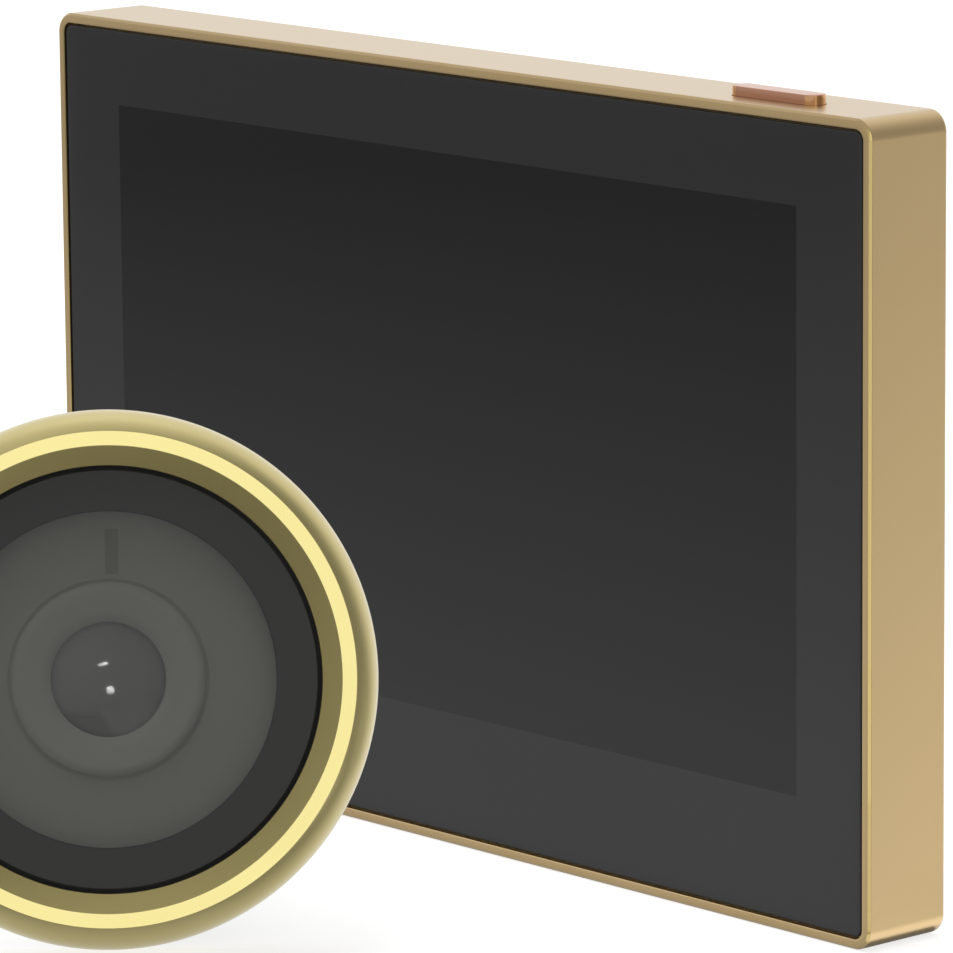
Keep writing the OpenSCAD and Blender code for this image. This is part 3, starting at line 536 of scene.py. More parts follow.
def finish(name, tones, haze, patch, pits=(), sockets=(), stretch=(1, 1, 1)):
    """Material named for a real finish. A noise with patches of some millimetres mixes its two tones and
    spreads its roughness over the haze. Pits give the size and depth, in millimetres, of a finer noise
    that dents it. Values that are the same all over go on the shader's own sockets."""
    made = bpy.data.materials.new(name)
    made.use_nodes = True
    tree = made.node_tree
    shader = tree.nodes["Principled BSDF"]
    for socket, value in dict(sockets).items():
        shader.inputs[socket].default_value = value
    place = add(tree, "Mapping", {"Vector": here(tree), "Scale": stretch}).outputs["Vector"]
    drift = add(tree, "TexNoise", {"Vector": place, "Scale": per_mm(patch), "Detail": 3.0}).outputs["Fac"]
    tone = blend(tree, drift, light_of(tones[0]), light_of(tones[1]), "RGBA")
    tree.links.new(tone, shader.inputs["Base Color"])
    tree.links.new(ramp(tree, drift, 0.0, 1.0, *haze), shader.inputs["Roughness"])
    if pits:
        size, depth = pits
        grain = add(tree, "TexNoise", {"Vector": place, "Scale": per_mm(size), "Detail": 2.0}).outputs["Fac"]
        dent(tree, grain, depth)
    return made


def overlay(made, where, chart):
    """Lays one more tone over a finish, where a value of its tree goes from 0 to 1."""
    tree = made.node_tree
    colour = tree.nodes["Principled BSDF"].inputs["Base Color"]
    under = colour.links[0].from_socket
    tree.links.new(blend(tree, where, under, light_of(chart), "RGBA"), colour)


def camera_place(tree):
    """Object coordinates brought to the round camera's own axes, for patterns that go round it."""
    home = vectors(tree, "SUBTRACT", here(tree), DOOR / 1000)
    return add(tree, "Mapping", {"Vector": home, "Rotation": Matrix(STAND.T).to_euler()}).outputs["Vector"]


def turning_lines(made, spacing, depth):
    """Adds the circular lines of a lathe tool: waves round the camera's axis, spacing and depth in mm."""
    tree = made.node_tree
    rings = add(tree, "TexWave", {"Vector": camera_place(tree), "Scale": per_mm(spacing) / (2 * np.pi)},
                wave_type="RINGS", rings_direction="Z")
    dent(tree, rings.outputs["Fac"], depth)


print("finishes come from: finish, overlay, turning_lines")

# %% [markdown]
# ## Finishes: satin gold and cut gold
#
# The frame and the ring are aluminium, bead-blasted and anodised in a pale champagne gold. Blasting
# leaves a field of tiny pits, so reflections spread into soft gradients instead of images. The clear
# oxide adds a faint sheen where it is seen at a slant, which is a coat in the shader. Edges that a
# diamond tool cuts afterwards shine like a mirror, with lines about 0.05 mm apart, drawn at 0.25 mm.

# %% Golds
METAL = {"Metallic": 1.0}
OXIDE = METAL | {"Coat Weight": 0.7, "Coat Roughness": 0.3, "Coat IOR": 1.6}
BLASTED, MIRROR = (0.3, 0.005), (0.13, 0.19)
# Champagne metal whose soft gradients tell the flat sides from the round corners.
satin_gold = finish("satin gold anodised aluminium", ("#C2A570", "#CAAE7C"), (0.32, 0.38), 30, BLASTED, OXIDE)
# The ring's own batch, a shade greener and less glossy.
ring_gold = finish("satin gold turned aluminium", ("#C7B776", "#CFC080"), (0.34, 0.40), 15, BLASTED,
                   OXIDE | {"Coat Weight": 1.0})
# Matt olive that stays dark beside the bright cut and makes it look brighter.
chamfer_gold = finish("matt olive gold aluminium", ("#C6B87E", "#CEC188"), (0.5, 0.58), 15, BLASTED, METAL)
# A lemon-coloured mirror, the brightest line of the object.
cut_gold = finish("diamond-cut gold aluminium", ("#F5E79C", "#F9EDA4"), MIRROR, 12, (), METAL)
turning_lines(cut_gold, 0.25, 0.0008)
# The frame's own cut edge, a warmer champagne.
edge_gold = finish("diamond-cut champagne aluminium", ("#CFB677", "#D5BD80"), MIRROR, 30, (), METAL)
print("golds:", ", ".join(gold.name for gold in (satin_gold, ring_gold, chamfer_gold, cut_gold, edge_gold)))

# %% [markdown]
# ## The metal frame
#
# A band goes round the whole screen unit. Its front edge is the thin rim round the glass, with a
# bright cut down its upright sides, and a ledge inside it carries the glass. It could be modelled as a
# box and hollowed out, but a band is by nature a profile carried along a path. Three openings are then
# cut through it: the slot of the button on the top, and the charging socket and the microphone underneath.

# %% Frame
low, high = corners_of("front_frame")
WIDTH, HEIGHT, MIDDLE = high[0] - low[0], high[2] - low[2], (low[2] + high[2]) / 2
FRONT, BACK = low[1], high[1]
CORNER, RIM, LEDGE, CUT = 3.2, 1.55, 2.8, 0.4
LEDGE_FRONT, LEDGE_BACK = corners_of("glass_gasket")[1][1], corners_of("chassis_plate")[0][1]
button_low, button_high = corners_of("power_button")
BUTTON_W, BUTTON_D, BUTTON_CORNER, BUTTON_GAP = 17.7, 3.6, 1.7, 0.15
BUTTON_X, BUTTON_Y = (button_low[0] + button_high[0]) / 2, button_low[1] + BUTTON_D / 2
plug, mouth = sum(corners_of("charging_socket")) / 2, sum(corners_of("microphone")) / 2
PLUG_W, PLUG_D, HOLE_D = 9.6, 3.8, 1.6


def upright(grid, middle):
    """Stands a carried grid up: its level becomes the depth y, and its second axis the height z."""
    return np.stack([grid[..., 0], grid[..., 2], grid[..., 1] + middle], axis=-1)


band = soften([(0, FRONT + CUT), (CUT, FRONT), (RIM, FRONT), (RIM, LEDGE_FRONT), (RIM + LEDGE, LEDGE_FRONT),
               (RIM + LEDGE, LEDGE_BACK), (RIM, LEDGE_BACK), (RIM, BACK), (0, BACK)],
              [0.05, 0.05, 0.18, 0.1, 0.1, 0.1, 0.1, 0.25, 0.5])
slot_w, slot_d = BUTTON_W + 2 * BUTTON_GAP, BUTTON_D + 2 * BUTTON_GAP
slot = bar(slot_w, slot_d, BUTTON_CORNER + BUTTON_GAP, HEIGHT - RIM - 1, HEIGHT + 1, BUTTON_X, BUTTON_Y)
frame_mesh = cut_from(
    mesh_of("frame", upright(carried(band, WIDTH, HEIGHT, CORNER, 20), MIDDLE), ring=True),
    mesh_of("button slot", slot),
    mesh_of("charging slot", bar(PLUG_W, PLUG_D, PLUG_D / 2 - HAIR, -1, RIM + 1, plug[0], plug[1])),
    mesh_of("microphone hole", bar(HOLE_D, HOLE_D, HOLE_D / 2 - HAIR, -1, RIM + 1, mouth[0], mouth[1])))
piece("metal_frame", frame_mesh, "screen_unit", satin_gold, ["front_frame"])
centre, normal = faces_of(frame_mesh)
# How much of a normal points forwards on the cut, at least and at most, and up at most.
STEEP, SLANT, UPRIGHT = 0.5, 0.9, 0.45
sloped = (centre[:, 1] < FRONT + CUT) & (normal[:, 1] < -STEEP) & (normal[:, 1] > -SLANT)
paint(frame_mesh, edge_gold, sloped & (np.abs(normal[:, 2]) < UPRIGHT))

# %% [markdown]
# ## The cover glass
#
# The front is one sheet of glass whose back is printed black around the display. Behind it everything
# is dark, so it looks like black glass with a slightly darker window. A clear sheet over a printed
# layer would look the same from outside and cost many more light paths, so the sheet is one body of
# black glass and the window is a tone in it. Its edge is ground round, as on any glass that is touched.

# %% Cover glass
WINDOW_W, WINDOW_H, WINDOW_Z, WINDOW_EDGE = 155.0, 86.7, 64.0, 0.05
# Deep black with a fine-grained anti-glare shine, and one clean step where the display begins.
black_glass = finish("black anti-glare cover glass", ("#28282A", "#2A2A2B"), (0.22, 0.28), 45, (),
                     {"IOR": 1.5, "Specular IOR Level": 0.33})
tree = black_glass.node_tree
spot = add(tree, "SeparateXYZ", {"Vector": here(tree)}).outputs
lifted = maths(tree, "SUBTRACT", spot["Z"], WINDOW_Z / 1000)
inside = 1.0
for value, size in ((spot["X"], WINDOW_W), (lifted, WINDOW_H)):
    outside, within = (size / 2 + WINDOW_EDGE) / 1000, (size / 2 - WINDOW_EDGE) / 1000
    inside = maths(tree, "MULTIPLY", ramp(tree, maths(tree, "ABSOLUTE", value), outside, within), inside)
overlay(black_glass, inside, "#0E0E0F")

low, high = corners_of("cover_glass")
GLASS_W, GLASS_H, GLASS_CORNER, GROUND, BEVEL = high[0] - low[0], high[2] - low[2], 1.3, 0.2, 0.1
back_edge = [(GLASS_H / 2, high[1]), (BEVEL, high[1]), (0, high[1] - BEVEL)]
sheet = np.vstack([back_edge, rounding(GROUND, low[1], 1, 7), [(GLASS_H / 2, low[1])]])
glass_mesh = mesh_of("cover glass", upright(carried(sheet, GLASS_W, GLASS_H, GLASS_CORNER), MIDDLE))
piece("cover_glass_sheet", glass_mesh, "screen_unit", black_glass, ["cover_glass"])

# %% [markdown]
# ## The power button
#
# A short bar of copper-coloured aluminium stands out of the top of the frame, with a lip under the
# frame that keeps it in and a stem that reaches the switch. It is cut from a drawn bar, so its edges
# are crisp and its grain runs along it: the noise is stretched fifty times along X. The cutter leaves
# its round ends polished, and a lighter orange on them is a painted glint.

# %% Power button
# Copper brown where it faces the room, and nearly white where its top mirrors the bright wall behind.
copper = finish("brushed copper anodised aluminium", ("#C48C72", "#D6A48C"), (0.16, 0.26), 0.25,
                (0.25, 0.006), METAL, stretch=(0.02, 1.0, 1.0))
LIP_TOP, LIP, CRISP, STEM = HEIGHT - RIM - 0.1, 0.8, 0.15, 2.4
shoulder = rounding(CRISP, button_high[2], -1, 5)
bar_profile = np.vstack([[(BUTTON_D / 2, LIP_TOP), (0, LIP_TOP)], shoulder, [(BUTTON_D / 2, button_high[2])]])
lip_size, lip_middle = button_high - button_low, (button_high + button_low) / 2
button_mesh = mesh_of(
    "button", carried(bar_profile, BUTTON_W, BUTTON_D, BUTTON_CORNER) + (BUTTON_X, BUTTON_Y, 0),
    bar(lip_size[0], lip_size[1], CRISP, LIP_TOP - LIP, LIP_TOP, BUTTON_X, lip_middle[1]),
    bar(STEM, STEM, CRISP, button_low[2], LIP_TOP - LIP, BUTTON_X, button_high[1] - STEM / 2))
piece("button_bar", button_mesh, "power_button", copper, ["power_button"])
# Polished by the cutter, and painted a lighter orange: a painted glint where an end turns to the room.
copper_with_painted_glint = finish("diamond-cut copper anodised aluminium with painted glint", ("#E4AE7C", "#EAB888"), (0.08, 0.12), 2, (),
                       METAL)
centre, normal = faces_of(button_mesh)
round_end = np.abs(centre[:, 0] - BUTTON_X) > BUTTON_W / 2 - BUTTON_CORNER
paint(button_mesh, copper_with_painted_glint, round_end & (centre[:, 2] > LIP_TOP) & (np.abs(normal[:, 2]) < STEEP))

# %% [markdown]
# ## The bezel ring
#
# The ring is turned from aluminium: a round shoulder outside, a flat land cut bright by the diamond
# tool, and a matt chamfer that falls to the glass. One profile holds all three, and the faces are
# told apart afterwards by where they point.

# %% Bezel ring
inner, outer, low, high = span_of("bezel_ring")
SHOULDER, LAND, SKIRT_GAP, SWEEP = 3.25, 2.1, 0.2, np.radians(65)
# The finer ring would bulge past the solid's facets by microns.
outer = outer - HAIR
skirt, step = span_of("camera_housing")[1] + SKIRT_GAP, span_of("bezel_gasket")[3]
land_inner, bend = outer - SHOULDER - LAND, SHOULDER / (1 - np.cos(SWEEP))
swing = np.linspace(0, SWEEP, 20)
shoulder = np.column_stack([outer - bend * (1 - np.cos(swing)),
                            high - bend * (np.sin(SWEEP) - np.sin(swing))])
ring_corners = np.vstack([[(inner, step), (skirt, step), (skirt, low), (outer, low)], shoulder,
                          [(land_inner, high), (inner, high - land_inner + inner)]])
ring_reach = np.zeros(len(ring_corners))
ring_reach[[2, 3, -3, -2, -1]] = 0.2, 0.3, 0.07, 0.07, 0.1
ring_mesh = mesh_of("bezel ring", turned(soften(ring_corners, ring_reach)), ring=True)
piece("bezel", ring_mesh, "camera", ring_gold, ["bezel_ring"])
centre, normal = faces_of(ring_mesh)
# How much of a normal points along the axis on the land and, at least, on the chamfer.
LEVEL, SLOPE = 0.99, 0.3
facing_out = normal @ AXIS
own = own_axes(centre)
sloped = (facing_out > SLOPE) & (facing_out < LEVEL) & (np.hypot(own[:, 0], own[:, 1]) < land_inner)
paint(ring_mesh, cut_gold, facing_out > LEVEL)
paint(ring_mesh, chamfer_gold, sloped)

# %% [markdown]
# ## The round face
#
# The face is a disc of smoked glass, printed black on its back outside a clear window. It floats in
# the ring with a fine gap, because the whole face is the bell push. The lens behind it has to show, so
# the window is see-through. So thin a disc hardly bends light, and leaving that out keeps the picture
# clean. The print could be a layer of its own behind the glass, but light paths that pass the glass
# only half the time leave grain, so the border is one opaque finish instead.

# %% Face glass, its printed border and its carrier
# Dark grey glass that still lets the grey screen and the lens show.
smoked_glass = finish("smoked coated glass", ("#3D3D3B", "#3F3F3D"), (0.05, 0.07), 20, (),
                      {"Alpha": 0.32, "IOR": 1.5})
GLASS_R, low, high = span_of("face_glass")[1:]
VIEW_R, SEAT_GAP = span_of("inner_shield")[1], 0.09
seat = low - SEAT_GAP
disc = soften([(0, low), (VIEW_R, low), (GLASS_R, low), (GLASS_R, high), (VIEW_R, high), (0, high)],
              [0, 0, 0.2, 0.25, 0, 0])
disc_mesh = mesh_of("face disc", turned(disc))
piece("face_disc", disc_mesh, "bell_face", smoked_glass, ["face_glass"])
# Black behind glass: deep and even, with only a weak shine from the coated front.
printed_glass = finish("black screen-printed glass", ("#363636", "#383837"), (0.05, 0.07), 20, (),
                       {"IOR": 1.5, "Specular IOR Level": 0.16})
own = own_axes(faces_of(disc_mesh)[0])
paint(disc_mesh, printed_glass, np.hypot(own[:, 0], own[:, 1]) > VIEW_R)

# Spark-eroded moulds give plastic a leathery grain of half a millimetre that breaks up its shine.
black_abs = finish("black spark-eroded ABS", ("#1D1E20", "#26272A"), (0.45, 0.62), 40, (0.5, 0.02),
                   {"IOR": 1.53})
inner, outer, low, high = span_of("face_carrier")
NECK, COLLAR = GLASS_R - 0.3, low + 0.5
holder = soften([(inner, low), (outer, low), (outer, COLLAR), (NECK, COLLAR), (NECK, seat), (inner, seat)],
                0.1, 2)
turned_ring("face_holder", holder, "bell_face", black_abs, "face_carrier", 256)

# %% [markdown]
# ## Behind the window
#
# Through the smoked glass one sees a grey moulded screen with an upright slot for the light sensor, a
# conical ring that keeps stray light out of the lens, and the domed front lens. All three are turned
# parts. A fine groove round the cone and painted shade at the rim of the lens draw the circles that
# make it read as a lens.

# %% Screen, trim ring and front lens
MATT = {"Specular IOR Level": 0.3}
# Even mid grey, so matt that it shows no lamp.
grey_abs = finish("grey matt ABS", ("#AAAAA0", "#B0B0A6"), (0.55, 0.7), 0.4, (), MATT)
# The cone is moulded in a lighter grey.
light_abs = finish("light grey matt ABS", ("#B4B4AA", "#BABAB0"), (0.55, 0.7), 0.4, (), MATT)
inner, outer, low, high = span_of("inner_shield")
cone_inner, cone_outer, seat, brim = span_of("lens_trim_ring")
GROOVE, GROOVE_DEPTH, SLOT_CORNER = 0.5, 0.2, 0.3
SLOT_L, SLOT_W, SLOT_AT, SLOT_ASIDE, SLOT_DEPTH = 6.6, 1.9, -18.5, 0.8, 0.4
groove_outer, groove_floor = cone_outer + GROOVE, high - GROOVE_DEPTH
screen = soften([(inner, low), (outer, low), (outer, high), (groove_outer, high),
                 (groove_outer, groove_floor), (cone_outer, groove_floor), (cone_outer, high), (inner, high)],
                0.05, 2)
slot = bar(SLOT_L, SLOT_W, SLOT_CORNER, high - SLOT_DEPTH, high + SLOT_DEPTH, SLOT_AT, SLOT_ASIDE)
screen_mesh = cut_from(mesh_of("screen", turned(screen), ring=True), mesh_of("slot", stood(slot)))
piece("grey_screen", screen_mesh, "camera", grey_abs, ["inner_shield"])
# The slot's floor and walls are a shade darker: partly the sensor's filter, partly painted recess shade.
filter_and_recess_shade = finish("grey filter plastic with painted recess shade", ("#96968A", "#9C9C90"), (0.55, 0.7), 2, (), MATT)
own = own_axes(faces_of(screen_mesh)[0]) - (SLOT_AT, SLOT_ASIDE, high)
in_slot = (np.abs(own[:, 0]) < SLOT_L / 2 + HAIR) & (np.abs(own[:, 1]) < SLOT_W / 2 + HAIR)
paint(screen_mesh, filter_and_recess_shade, in_slot & (own[:, 2] < -HAIR) & (own[:, 2] > -SLOT_DEPTH - HAIR))

LENS_R, low, LENS_TOP = span_of("front_lens")[1:]
BRIM, THROAT, FALL, LEDGE_IN = 0.8, 0.9, 0.5, LENS_R + 0.02
cone = soften([(LEDGE_IN, seat), (cone_outer, seat), (cone_outer, brim - FALL), (cone_outer - BRIM, brim),
               (cone_inner + THROAT, brim - FALL), (LEDGE_IN, seat + 0.1)],
              [0.02, 0.05, 0.15, 0.6, 0.6, 0.02], 5)
turned_ring("lens_cone", cone, "camera", light_abs, "lens_trim_ring", 256)

DOME_R = (LENS_R ** 2 + (LENS_TOP - low) ** 2) / (2 * (LENS_TOP - low))
LENS_RIM_SHADE = 1.0
# Seen through the smoked glass a coated lens is a smooth grey dome, with painted shade at its rim.
lens_glass = finish("coated lens glass", ("#767675", "#7A7A79"), (0.05, 0.07), 6, (),
                    {"IOR": 1.6, "Coat Weight": 0.6, "Coat Roughness": 0.03})
tree = lens_glass.node_tree
across = vectors(tree, "MULTIPLY", camera_place(tree), (1, 1, 0))
reach = vectors(tree, "LENGTH", across, result="Value")
rim_shade = ramp(tree, reach, (LENS_R - LENS_RIM_SHADE) / 1000, LENS_R / 1000, curve="SMOOTHSTEP")
overlay(lens_glass, rim_shade, "#626260")
lift = np.linspace(np.arcsin(LENS_R / DOME_R), 0, 20)
cap = np.column_stack([DOME_R * np.sin(lift), LENS_TOP - DOME_R * (1 - np.cos(lift))])
dome_mesh = mesh_of("lens dome", turned(np.vstack([[(0, low)], cap]), 128))
dome = piece("lens_dome", dome_mesh, "camera", lens_glass, ["front_lens"])

# %% [markdown]
# ## Two glints in the lens
#
# A lens looks like one when small lamps glint in its dome. A lamp shows at a point of the dome when it
# hangs in the mirror direction l = 2 (n . w) n - w, with n the dome's normal there and w the way to
# the viewer. Moving lamps by hand would find it too, but the formula puts each glint in its place.
# Light linking keeps these lamps off everything but the lens.

# %% Glints
LAMP_AWAY = 0.8
only_lens = bpy.data.collections.new("lit by the glint lamps")
only_lens.objects.link(dome)
for name, sideways, up, size, watts, tilt in (("round glint", 0.23, -1.51, (0.062, 0.062), 0.36, 0.0),
                                              ("long glint", -0.70, 2.23, (0.086, 0.014), 0.2, 0.26)):
    bulge = np.array([-up, sideways, np.sqrt(DOME_R ** 2 - up ** 2 - sideways ** 2)])
    point = stood(bulge + (0, 0, LENS_TOP - DOME_R)) / 1000
    normal = STAND @ bulge / DOME_R
    to_eye = unit(EYE - point)
    mirrored = 2 * (normal @ to_eye) * normal - to_eye
    glint = lamp(name, point + LAMP_AWAY * mirrored, point, size, watts, tilt)
    glint.light_linking.receiver_collection = only_lens
print("glints:", len(bpy.data.lights) - 1)

# %% [markdown]
# ## Rubber seals
#
# A ring of soft rubber seals the camera against the door, with three lips that bend when the tube is
# tightened, and a thin washer lets the flange slip round on the inside of the door.

# %% Door seal and slip washer
# Rubber swallows light, with a dusty bloom of half a millimetre.
rubber = finish("matt black rubber", ("#1A1A1B", "#29292A"), (0.6, 0.8), 0.6, (0.6, 0.016),
                {"Specular IOR Level": 0.35})
inner, outer, low, high = span_of("door_seal")
LIP_HALF, LIP_BASE = 0.9, 0.7
tips = np.linspace(inner + LIP_HALF, outer - LIP_HALF, 3)[:, None] + LIP_HALF * np.array([-1, 0, 1])
teeth = np.column_stack([tips.ravel(), np.tile([LIP_BASE, low, LIP_BASE], 3)])
lips = soften(np.vstack([[(inner, high)], teeth, [(outer, high)]]), 0.2, 3)
turned_ring("seal_ring", lips, "camera", rubber, "door_seal")
inner, outer, low, high = span_of("slip_washer")
washer = soften([(inner, low), (outer, low), (outer, high), (inner, high)], 0.35)
turned_ring("washer_ring", washer, "slip_washer", rubber, "slip_washer")

# %% [markdown]
# ## The zinc-plated barrel
#
# The barrel that the door tube screws into is a steel turning, zinc plated, which leaves a cool
# silvery skin with faint patches a few millimetres wide. It is pressed into a foot that three screws
# hold to the housing.

# %% Barrel and foot
# Cool silver that sets the hidden steel apart from the gold.
zinc = finish("zinc-plated steel", ("#AEB1B4", "#BDC0C1"), (0.28, 0.42), 3, (), METAL)
inner, outer, low, high = span_of("threaded_barrel")
GROOVE_LOW, GROOVE_W, GROOVE_DEPTH = low + 4, 1.0, 0.2
GROOVE_R, GROOVE_HIGH = outer - GROOVE_DEPTH, GROOVE_LOW + GROOVE_W
barrel = soften([(inner, low), (outer, low), (outer, GROOVE_LOW), (GROOVE_R, GROOVE_LOW + GROOVE_DEPTH),
                 (GROOVE_R, GROOVE_HIGH - GROOVE_DEPTH), (outer, GROOVE_HIGH), (outer, high), (inner, high)],
                [0.15, 0.35, 0.05, 0.05, 0.05, 0.05, 0.1, 0.1], 3)
turned_ring("steel_barrel", barrel, "camera", zinc, "threaded_barrel")

inner, outer, low, high = span_of("barrel_flange")
WELL_R, WELL_DEPTH, THIRDS = 1.9, 0.9, np.radians([0, 120, 240])
foot = soften([(inner, low), (outer, low), (outer, high), (inner, high)], [0.1, 0.35, 0.1, 0.1], 3)
wells = [stood(rod(WELL_R, low - PAST, low + WELL_DEPTH, (inner + outer) / 2, angle)) for angle in THIRDS]
foot_mesh = cut_from(mesh_of("foot", turned(foot, 192), ring=True), mesh_of("screw wells", *wells))
piece("barrel_foot", foot_mesh, "camera", zinc, ["barrel_flange"])

# %% [markdown]
# ## Screws
#
# Six small screws face the door: three hold the foot and three the bezel. Each is a turned head on a
# shank, with a cross pressed into it. Two bars at right angles cut the cross into all three at once.

# %% Screws of the camera
# Black nickel, dark enough to vanish beside black plastic until light catches a head.
dark_screw = finish("black nickel screw steel", ("#4B4C50", "#606166"), (0.28, 0.4), 0.5, (), METAL)
CROSS_L, CROSS_W, CROSS_DEPTH = 0.7, 0.2, 0.45
for name, node, shank, thick in (("foot_screws", "barrel_screws", 0.9, 0.8),
                                 ("ring_screws", "bezel_screws", 0.7, 0.9)):
    inner, outer, low, high = span_of(node)
    head, out = (outer - inner) / 2, (outer + inner) / 2
    under = low + thick
    screw = soften([(0, low), (head, low), (head, under), (shank, under), (shank, high), (0, high)],
                   [0, 0.25, 0.05, 0.05, 0.2, 0], 3)
    places = [(out * np.cos(angle), out * np.sin(angle), 0) for angle in THIRDS]
    long, wide = 2 * CROSS_L * head, 2 * CROSS_W * head
    crosses = [[stood(bar(*size, 0.05, low - 0.2, low + CROSS_DEPTH) + place) for place in places]
               for size in ((long, wide), (wide, long))]
    screws = mesh_of(name, *[stood(lathed(screw, once_round(48)) + place) for place in places])
    crossed = cut_from(screws, *[mesh_of("cross", *cross) for cross in crosses])
    piece(name, crossed, "camera", dark_screw, [node])

# %% [markdown]
# ## The door tube
#
# The tube carries a 1.5 mm right-hand thread, so that turning its flange draws the two halves
# together on doors of different thickness. A screw thread is a surface of two parameters: at angle t
# and height z the radius depends only on z / pitch - t / turn, which climbs one pitch per turn. The
# flange's rim is fluted for the fingers, and four holes take a pin spanner.

# %% Door tube and indoor flange
# Fine turning lines give the tube's gold a silky band of light.
turned_gold = finish("turned gold anodised aluminium", ("#C2A974", "#CDB681"), (0.26, 0.34), 14, (), METAL)
turning_lines(turned_gold, 0.3, 0.002)
BORE, CREST, low, high = span_of("door_tube")
FLANGE_R, flange_low, flange_high = span_of("indoor_flange")[1:]
PITCH, DEPTH, RUNOUT, FLANK, ROOT = 1.5, 0.75, 1.0, 1.35, 0.15
t = once_round(96)
thread_low, thread_high = flange_high - 0.1, high - 0.4
z = np.linspace(thread_low, thread_high, 236)[:, None]
climb = np.abs((z / PITCH - t / (2 * np.pi)) % 1 - 0.5) * 2
fade = np.clip(np.minimum(z - thread_low, thread_high - z) / RUNOUT, 0, 1)
thread = spun(CREST - DEPTH + DEPTH * fade * np.clip(FLANK * climb - ROOT, 0, 1), z, t)
ends = np.array([(CREST - 1.0, high), (BORE + 0.3, high), (BORE, high - 0.3), (BORE, low + 0.2),
                 (BORE + 0.2, low), (CREST - 0.3, low), (CREST - 0.15, thread_low - 0.1)])
tube_mesh = mesh_of("threaded tube", stood(np.vstack([thread, lathed(ends, t)])), ring=True)
piece("threaded_tube", tube_mesh, "door_tube", turned_gold, ["door_tube"], crease=50)

FLUTES, FLUTE_DEPTH, FLUTE_EDGE, SPANNER_R, SPANNER_AT = 72, 0.35, 0.8, 2.2, 18.625
LOW_SLOPE, HIGH_SLOPE, QUARTERS = 1.55, 1.15, np.radians([0, 90, 180, 270])
t = once_round(FLUTES * 8)
knob = soften([(CREST, flange_low), (FLANGE_R - LOW_SLOPE, flange_low), (FLANGE_R, flange_low + 0.9),
               (FLANGE_R, flange_high - 0.7), (FLANGE_R - HIGH_SLOPE, flange_high), (CREST, flange_high)],
              [0.1, 0.4, 0.4, 0.3, 0.3, 0.1], 3)
radius, level = knob[:, :1], knob[:, 1:]
fluted = np.clip((radius - FLANGE_R + HIGH_SLOPE) / FLUTE_EDGE, 0, 1)
flute = FLUTE_DEPTH * fluted * (0.5 - 0.5 * np.cos(FLUTES * t)) ** 2
holes = [stood(rod(SPANNER_R, flange_low - PAST, flange_high + PAST, SPANNER_AT, way)) for way in QUARTERS]
flange_mesh = cut_from(mesh_of("flange", stood(spun(radius - flute, level, t)), ring=True),
                       mesh_of("spanner holes", *holes))
piece("flange_disc", flange_mesh, "door_tube", turned_gold, ["indoor_flange"])

# %% [markdown]
# ## Moulded and stamped pieces from their solids
#
# The back cover, the bracket, the housing and the corner screws are full of slots and holes that the
# solids already hold exactly. Drawing them again would only copy them, so each is a merged copy of
# its solid whose sharp edges are rounded, as a mould or a stamping tool leaves them.

# %% Rounded copies of solids
def rounded_copy(name, node, width, flat=0.5, sharp=30, steps=2):
    """Copy of a solid with its triangles merged, flat areas joined and edges over the sharp angle rounded."""
    work = bmesh.new()
    work.from_mesh(solids[node].data)
    bmesh.ops.remove_doubles(work, verts=work.verts, dist=1e-6)
    bmesh.ops.dissolve_limit(work, angle_limit=np.radians(flat), verts=work.verts, edges=work.edges)
    edges = [e for e in work.edges if e.is_manifold and e.calc_face_angle() > np.radians(sharp)]
    bmesh.ops.bevel(work, geom=edges, offset=width / 1000, segments=steps, profile=0.5, affect="EDGES",
                    clamp_overlap=True)
    made = bpy.data.meshes.new(name)
    work.to_mesh(made)
    work.free()
    return made


for name, node, width, body, slot, surface in (
        ("rear_cover", "back_cover", 0.25, "screen_unit", "black_plastic", black_abs),
        ("camera_case", "camera_housing", 0.2, "camera", "black_plastic", black_abs),
        ("steel_bracket", "wall_bracket", 0.2, "bracket", "zinc_plate", zinc),
        ("cover_screws", "back_screws", 0.1, "screen_unit", "screw_steel", dark_screw)):
    piece(name, rounded_copy(name, node, width), body, surface, [node])

# %% [markdown]
# ## The foam pads
#
# Two pads of closed-cell foam stick the bracket to the door. Foam is soft, so the pads bulge a little
# between their skins, and their cells show as fine pits.

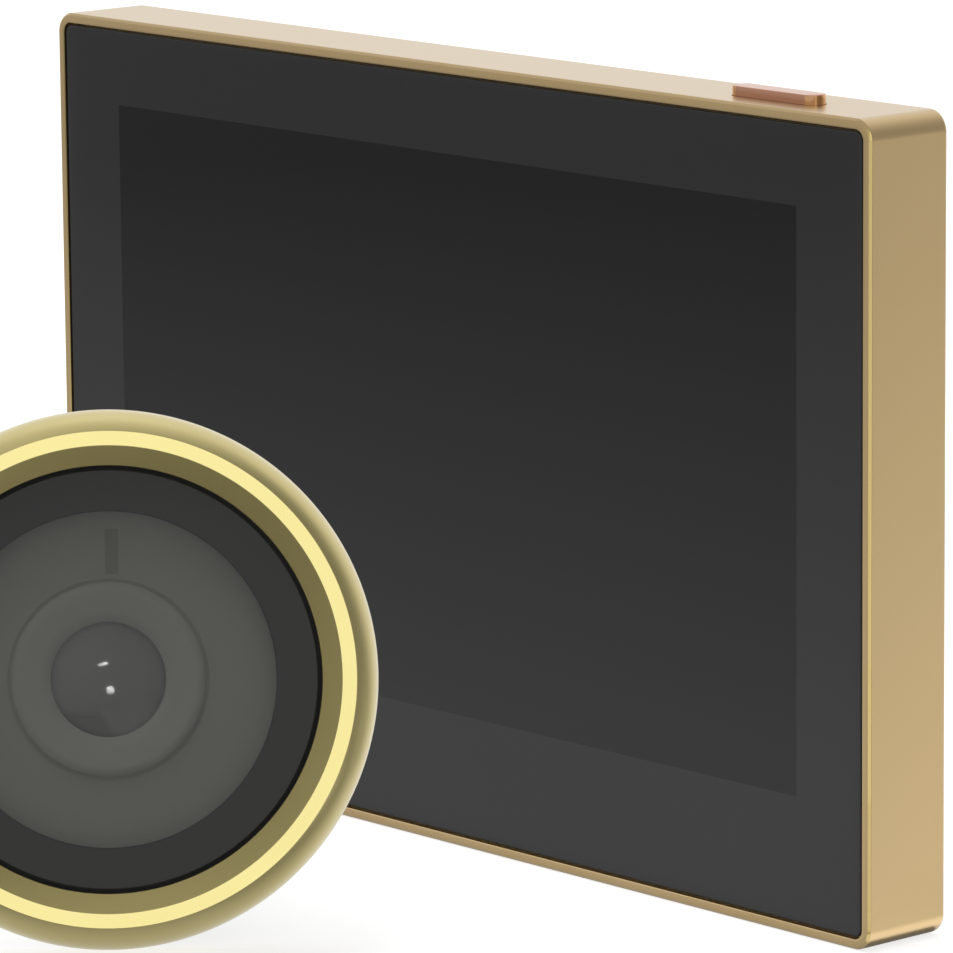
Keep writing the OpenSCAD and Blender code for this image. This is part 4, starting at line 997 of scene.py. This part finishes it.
# %% Adhesive pads
# Grey foam, so matt and pitted that it never shines.
foam = finish("grey closed-cell foam", ("#4A4A4C", "#6B6B6D"), (0.8, 0.9), 0.7, (0.7, 0.08),
              {"Specular IOR Level": 0.2})
low, high = corners_of("adhesive_pads")
middle, half = (low + high) / 2, (high - low) / 2
PAD_W, PAD_CORNER, BULGE = 18.0, 2.0, 0.3
turn = np.linspace(-np.pi / 2, np.pi / 2, 9)
side = np.column_stack([BULGE * (1 - np.cos(turn)), middle[1] + half[1] * np.sin(turn)])
pad_profile = np.vstack([[(PAD_W / 2, low[1])], side, [(PAD_W / 2, high[1])]])
pad = upright(carried(pad_profile, PAD_W, high[2] - low[2], PAD_CORNER), middle[2])
pads = [pad + (x, 0, 0) for x in (low[0] + PAD_W / 2, high[0] - PAD_W / 2)]
piece("foam_pads", mesh_of("pads", *pads), "bracket", foam, ["adhesive_pads"])

# %% [markdown]
# ## Finishes of the hidden pieces
#
# Inside are the boards, the battery, the speaker and their screws. They keep their solids and get a
# finish each, so that the units look right when they are opened.

# %% Hidden pieces
# Bright sheet steel of screening cans and sockets.
tinned = finish("tinned sheet steel", ("#B9BCBE", "#CDD0D1"), (0.25, 0.4), 6, (), METAL)
# Circuit boards, with the green of their lacquer changing over the copper below.
mask = finish("green solder mask", ("#174C30", "#1F6240"), (0.3, 0.4), 2.4, (0.4, 0.01))
# The battery's pouch, creased where it is folded.
foil = finish("aluminium pouch foil", ("#B4B7BA", "#CBCDCF"), (0.34, 0.42), 7, (7, 0.2), {"Metallic": 0.7})
# Milky plastic of the plug socket.
nylon = finish("natural nylon", ("#D8D4C6", "#E3E0D4"), (0.4, 0.5), 2)
# The antenna's foil.
copper_foil = finish("copper foil", ("#B87349", "#C98459"), (0.28, 0.36), 4, (), METAL)
# Panel, sensor and infrared lamps: dark and glossy.
dark_glass = finish("dark panel glass", ("#0D0E12", "#15161B"), (0.1, 0.16), 10)
for surface, names in {
        tinned: ["backlight_tray", "processor_shield", "radio_module", "charging_socket", "call_microphone"],
        dark_screw: ["board_screws"], mask: ["main_board", "camera_board"], foil: ["battery_pack"],
        nylon: ["camera_socket"], copper_foil: ["radio_antenna"],
        rubber: ["glass_gasket", "microphone", "bezel_gasket"],
        dark_glass: ["lcd_panel", "image_sensor", "infrared_lamps"],
        black_abs: ["chassis_plate", "speaker", "button_switch", "lens_barrel", "bell_switches",
                    "call_speaker"],
}.items():
    for name in names:
        solids[name].data.materials.clear()
        solids[name].data.materials.append(surface)
print(sum(not s.hide_render for s in solids.values()), "solids keep their own shape")
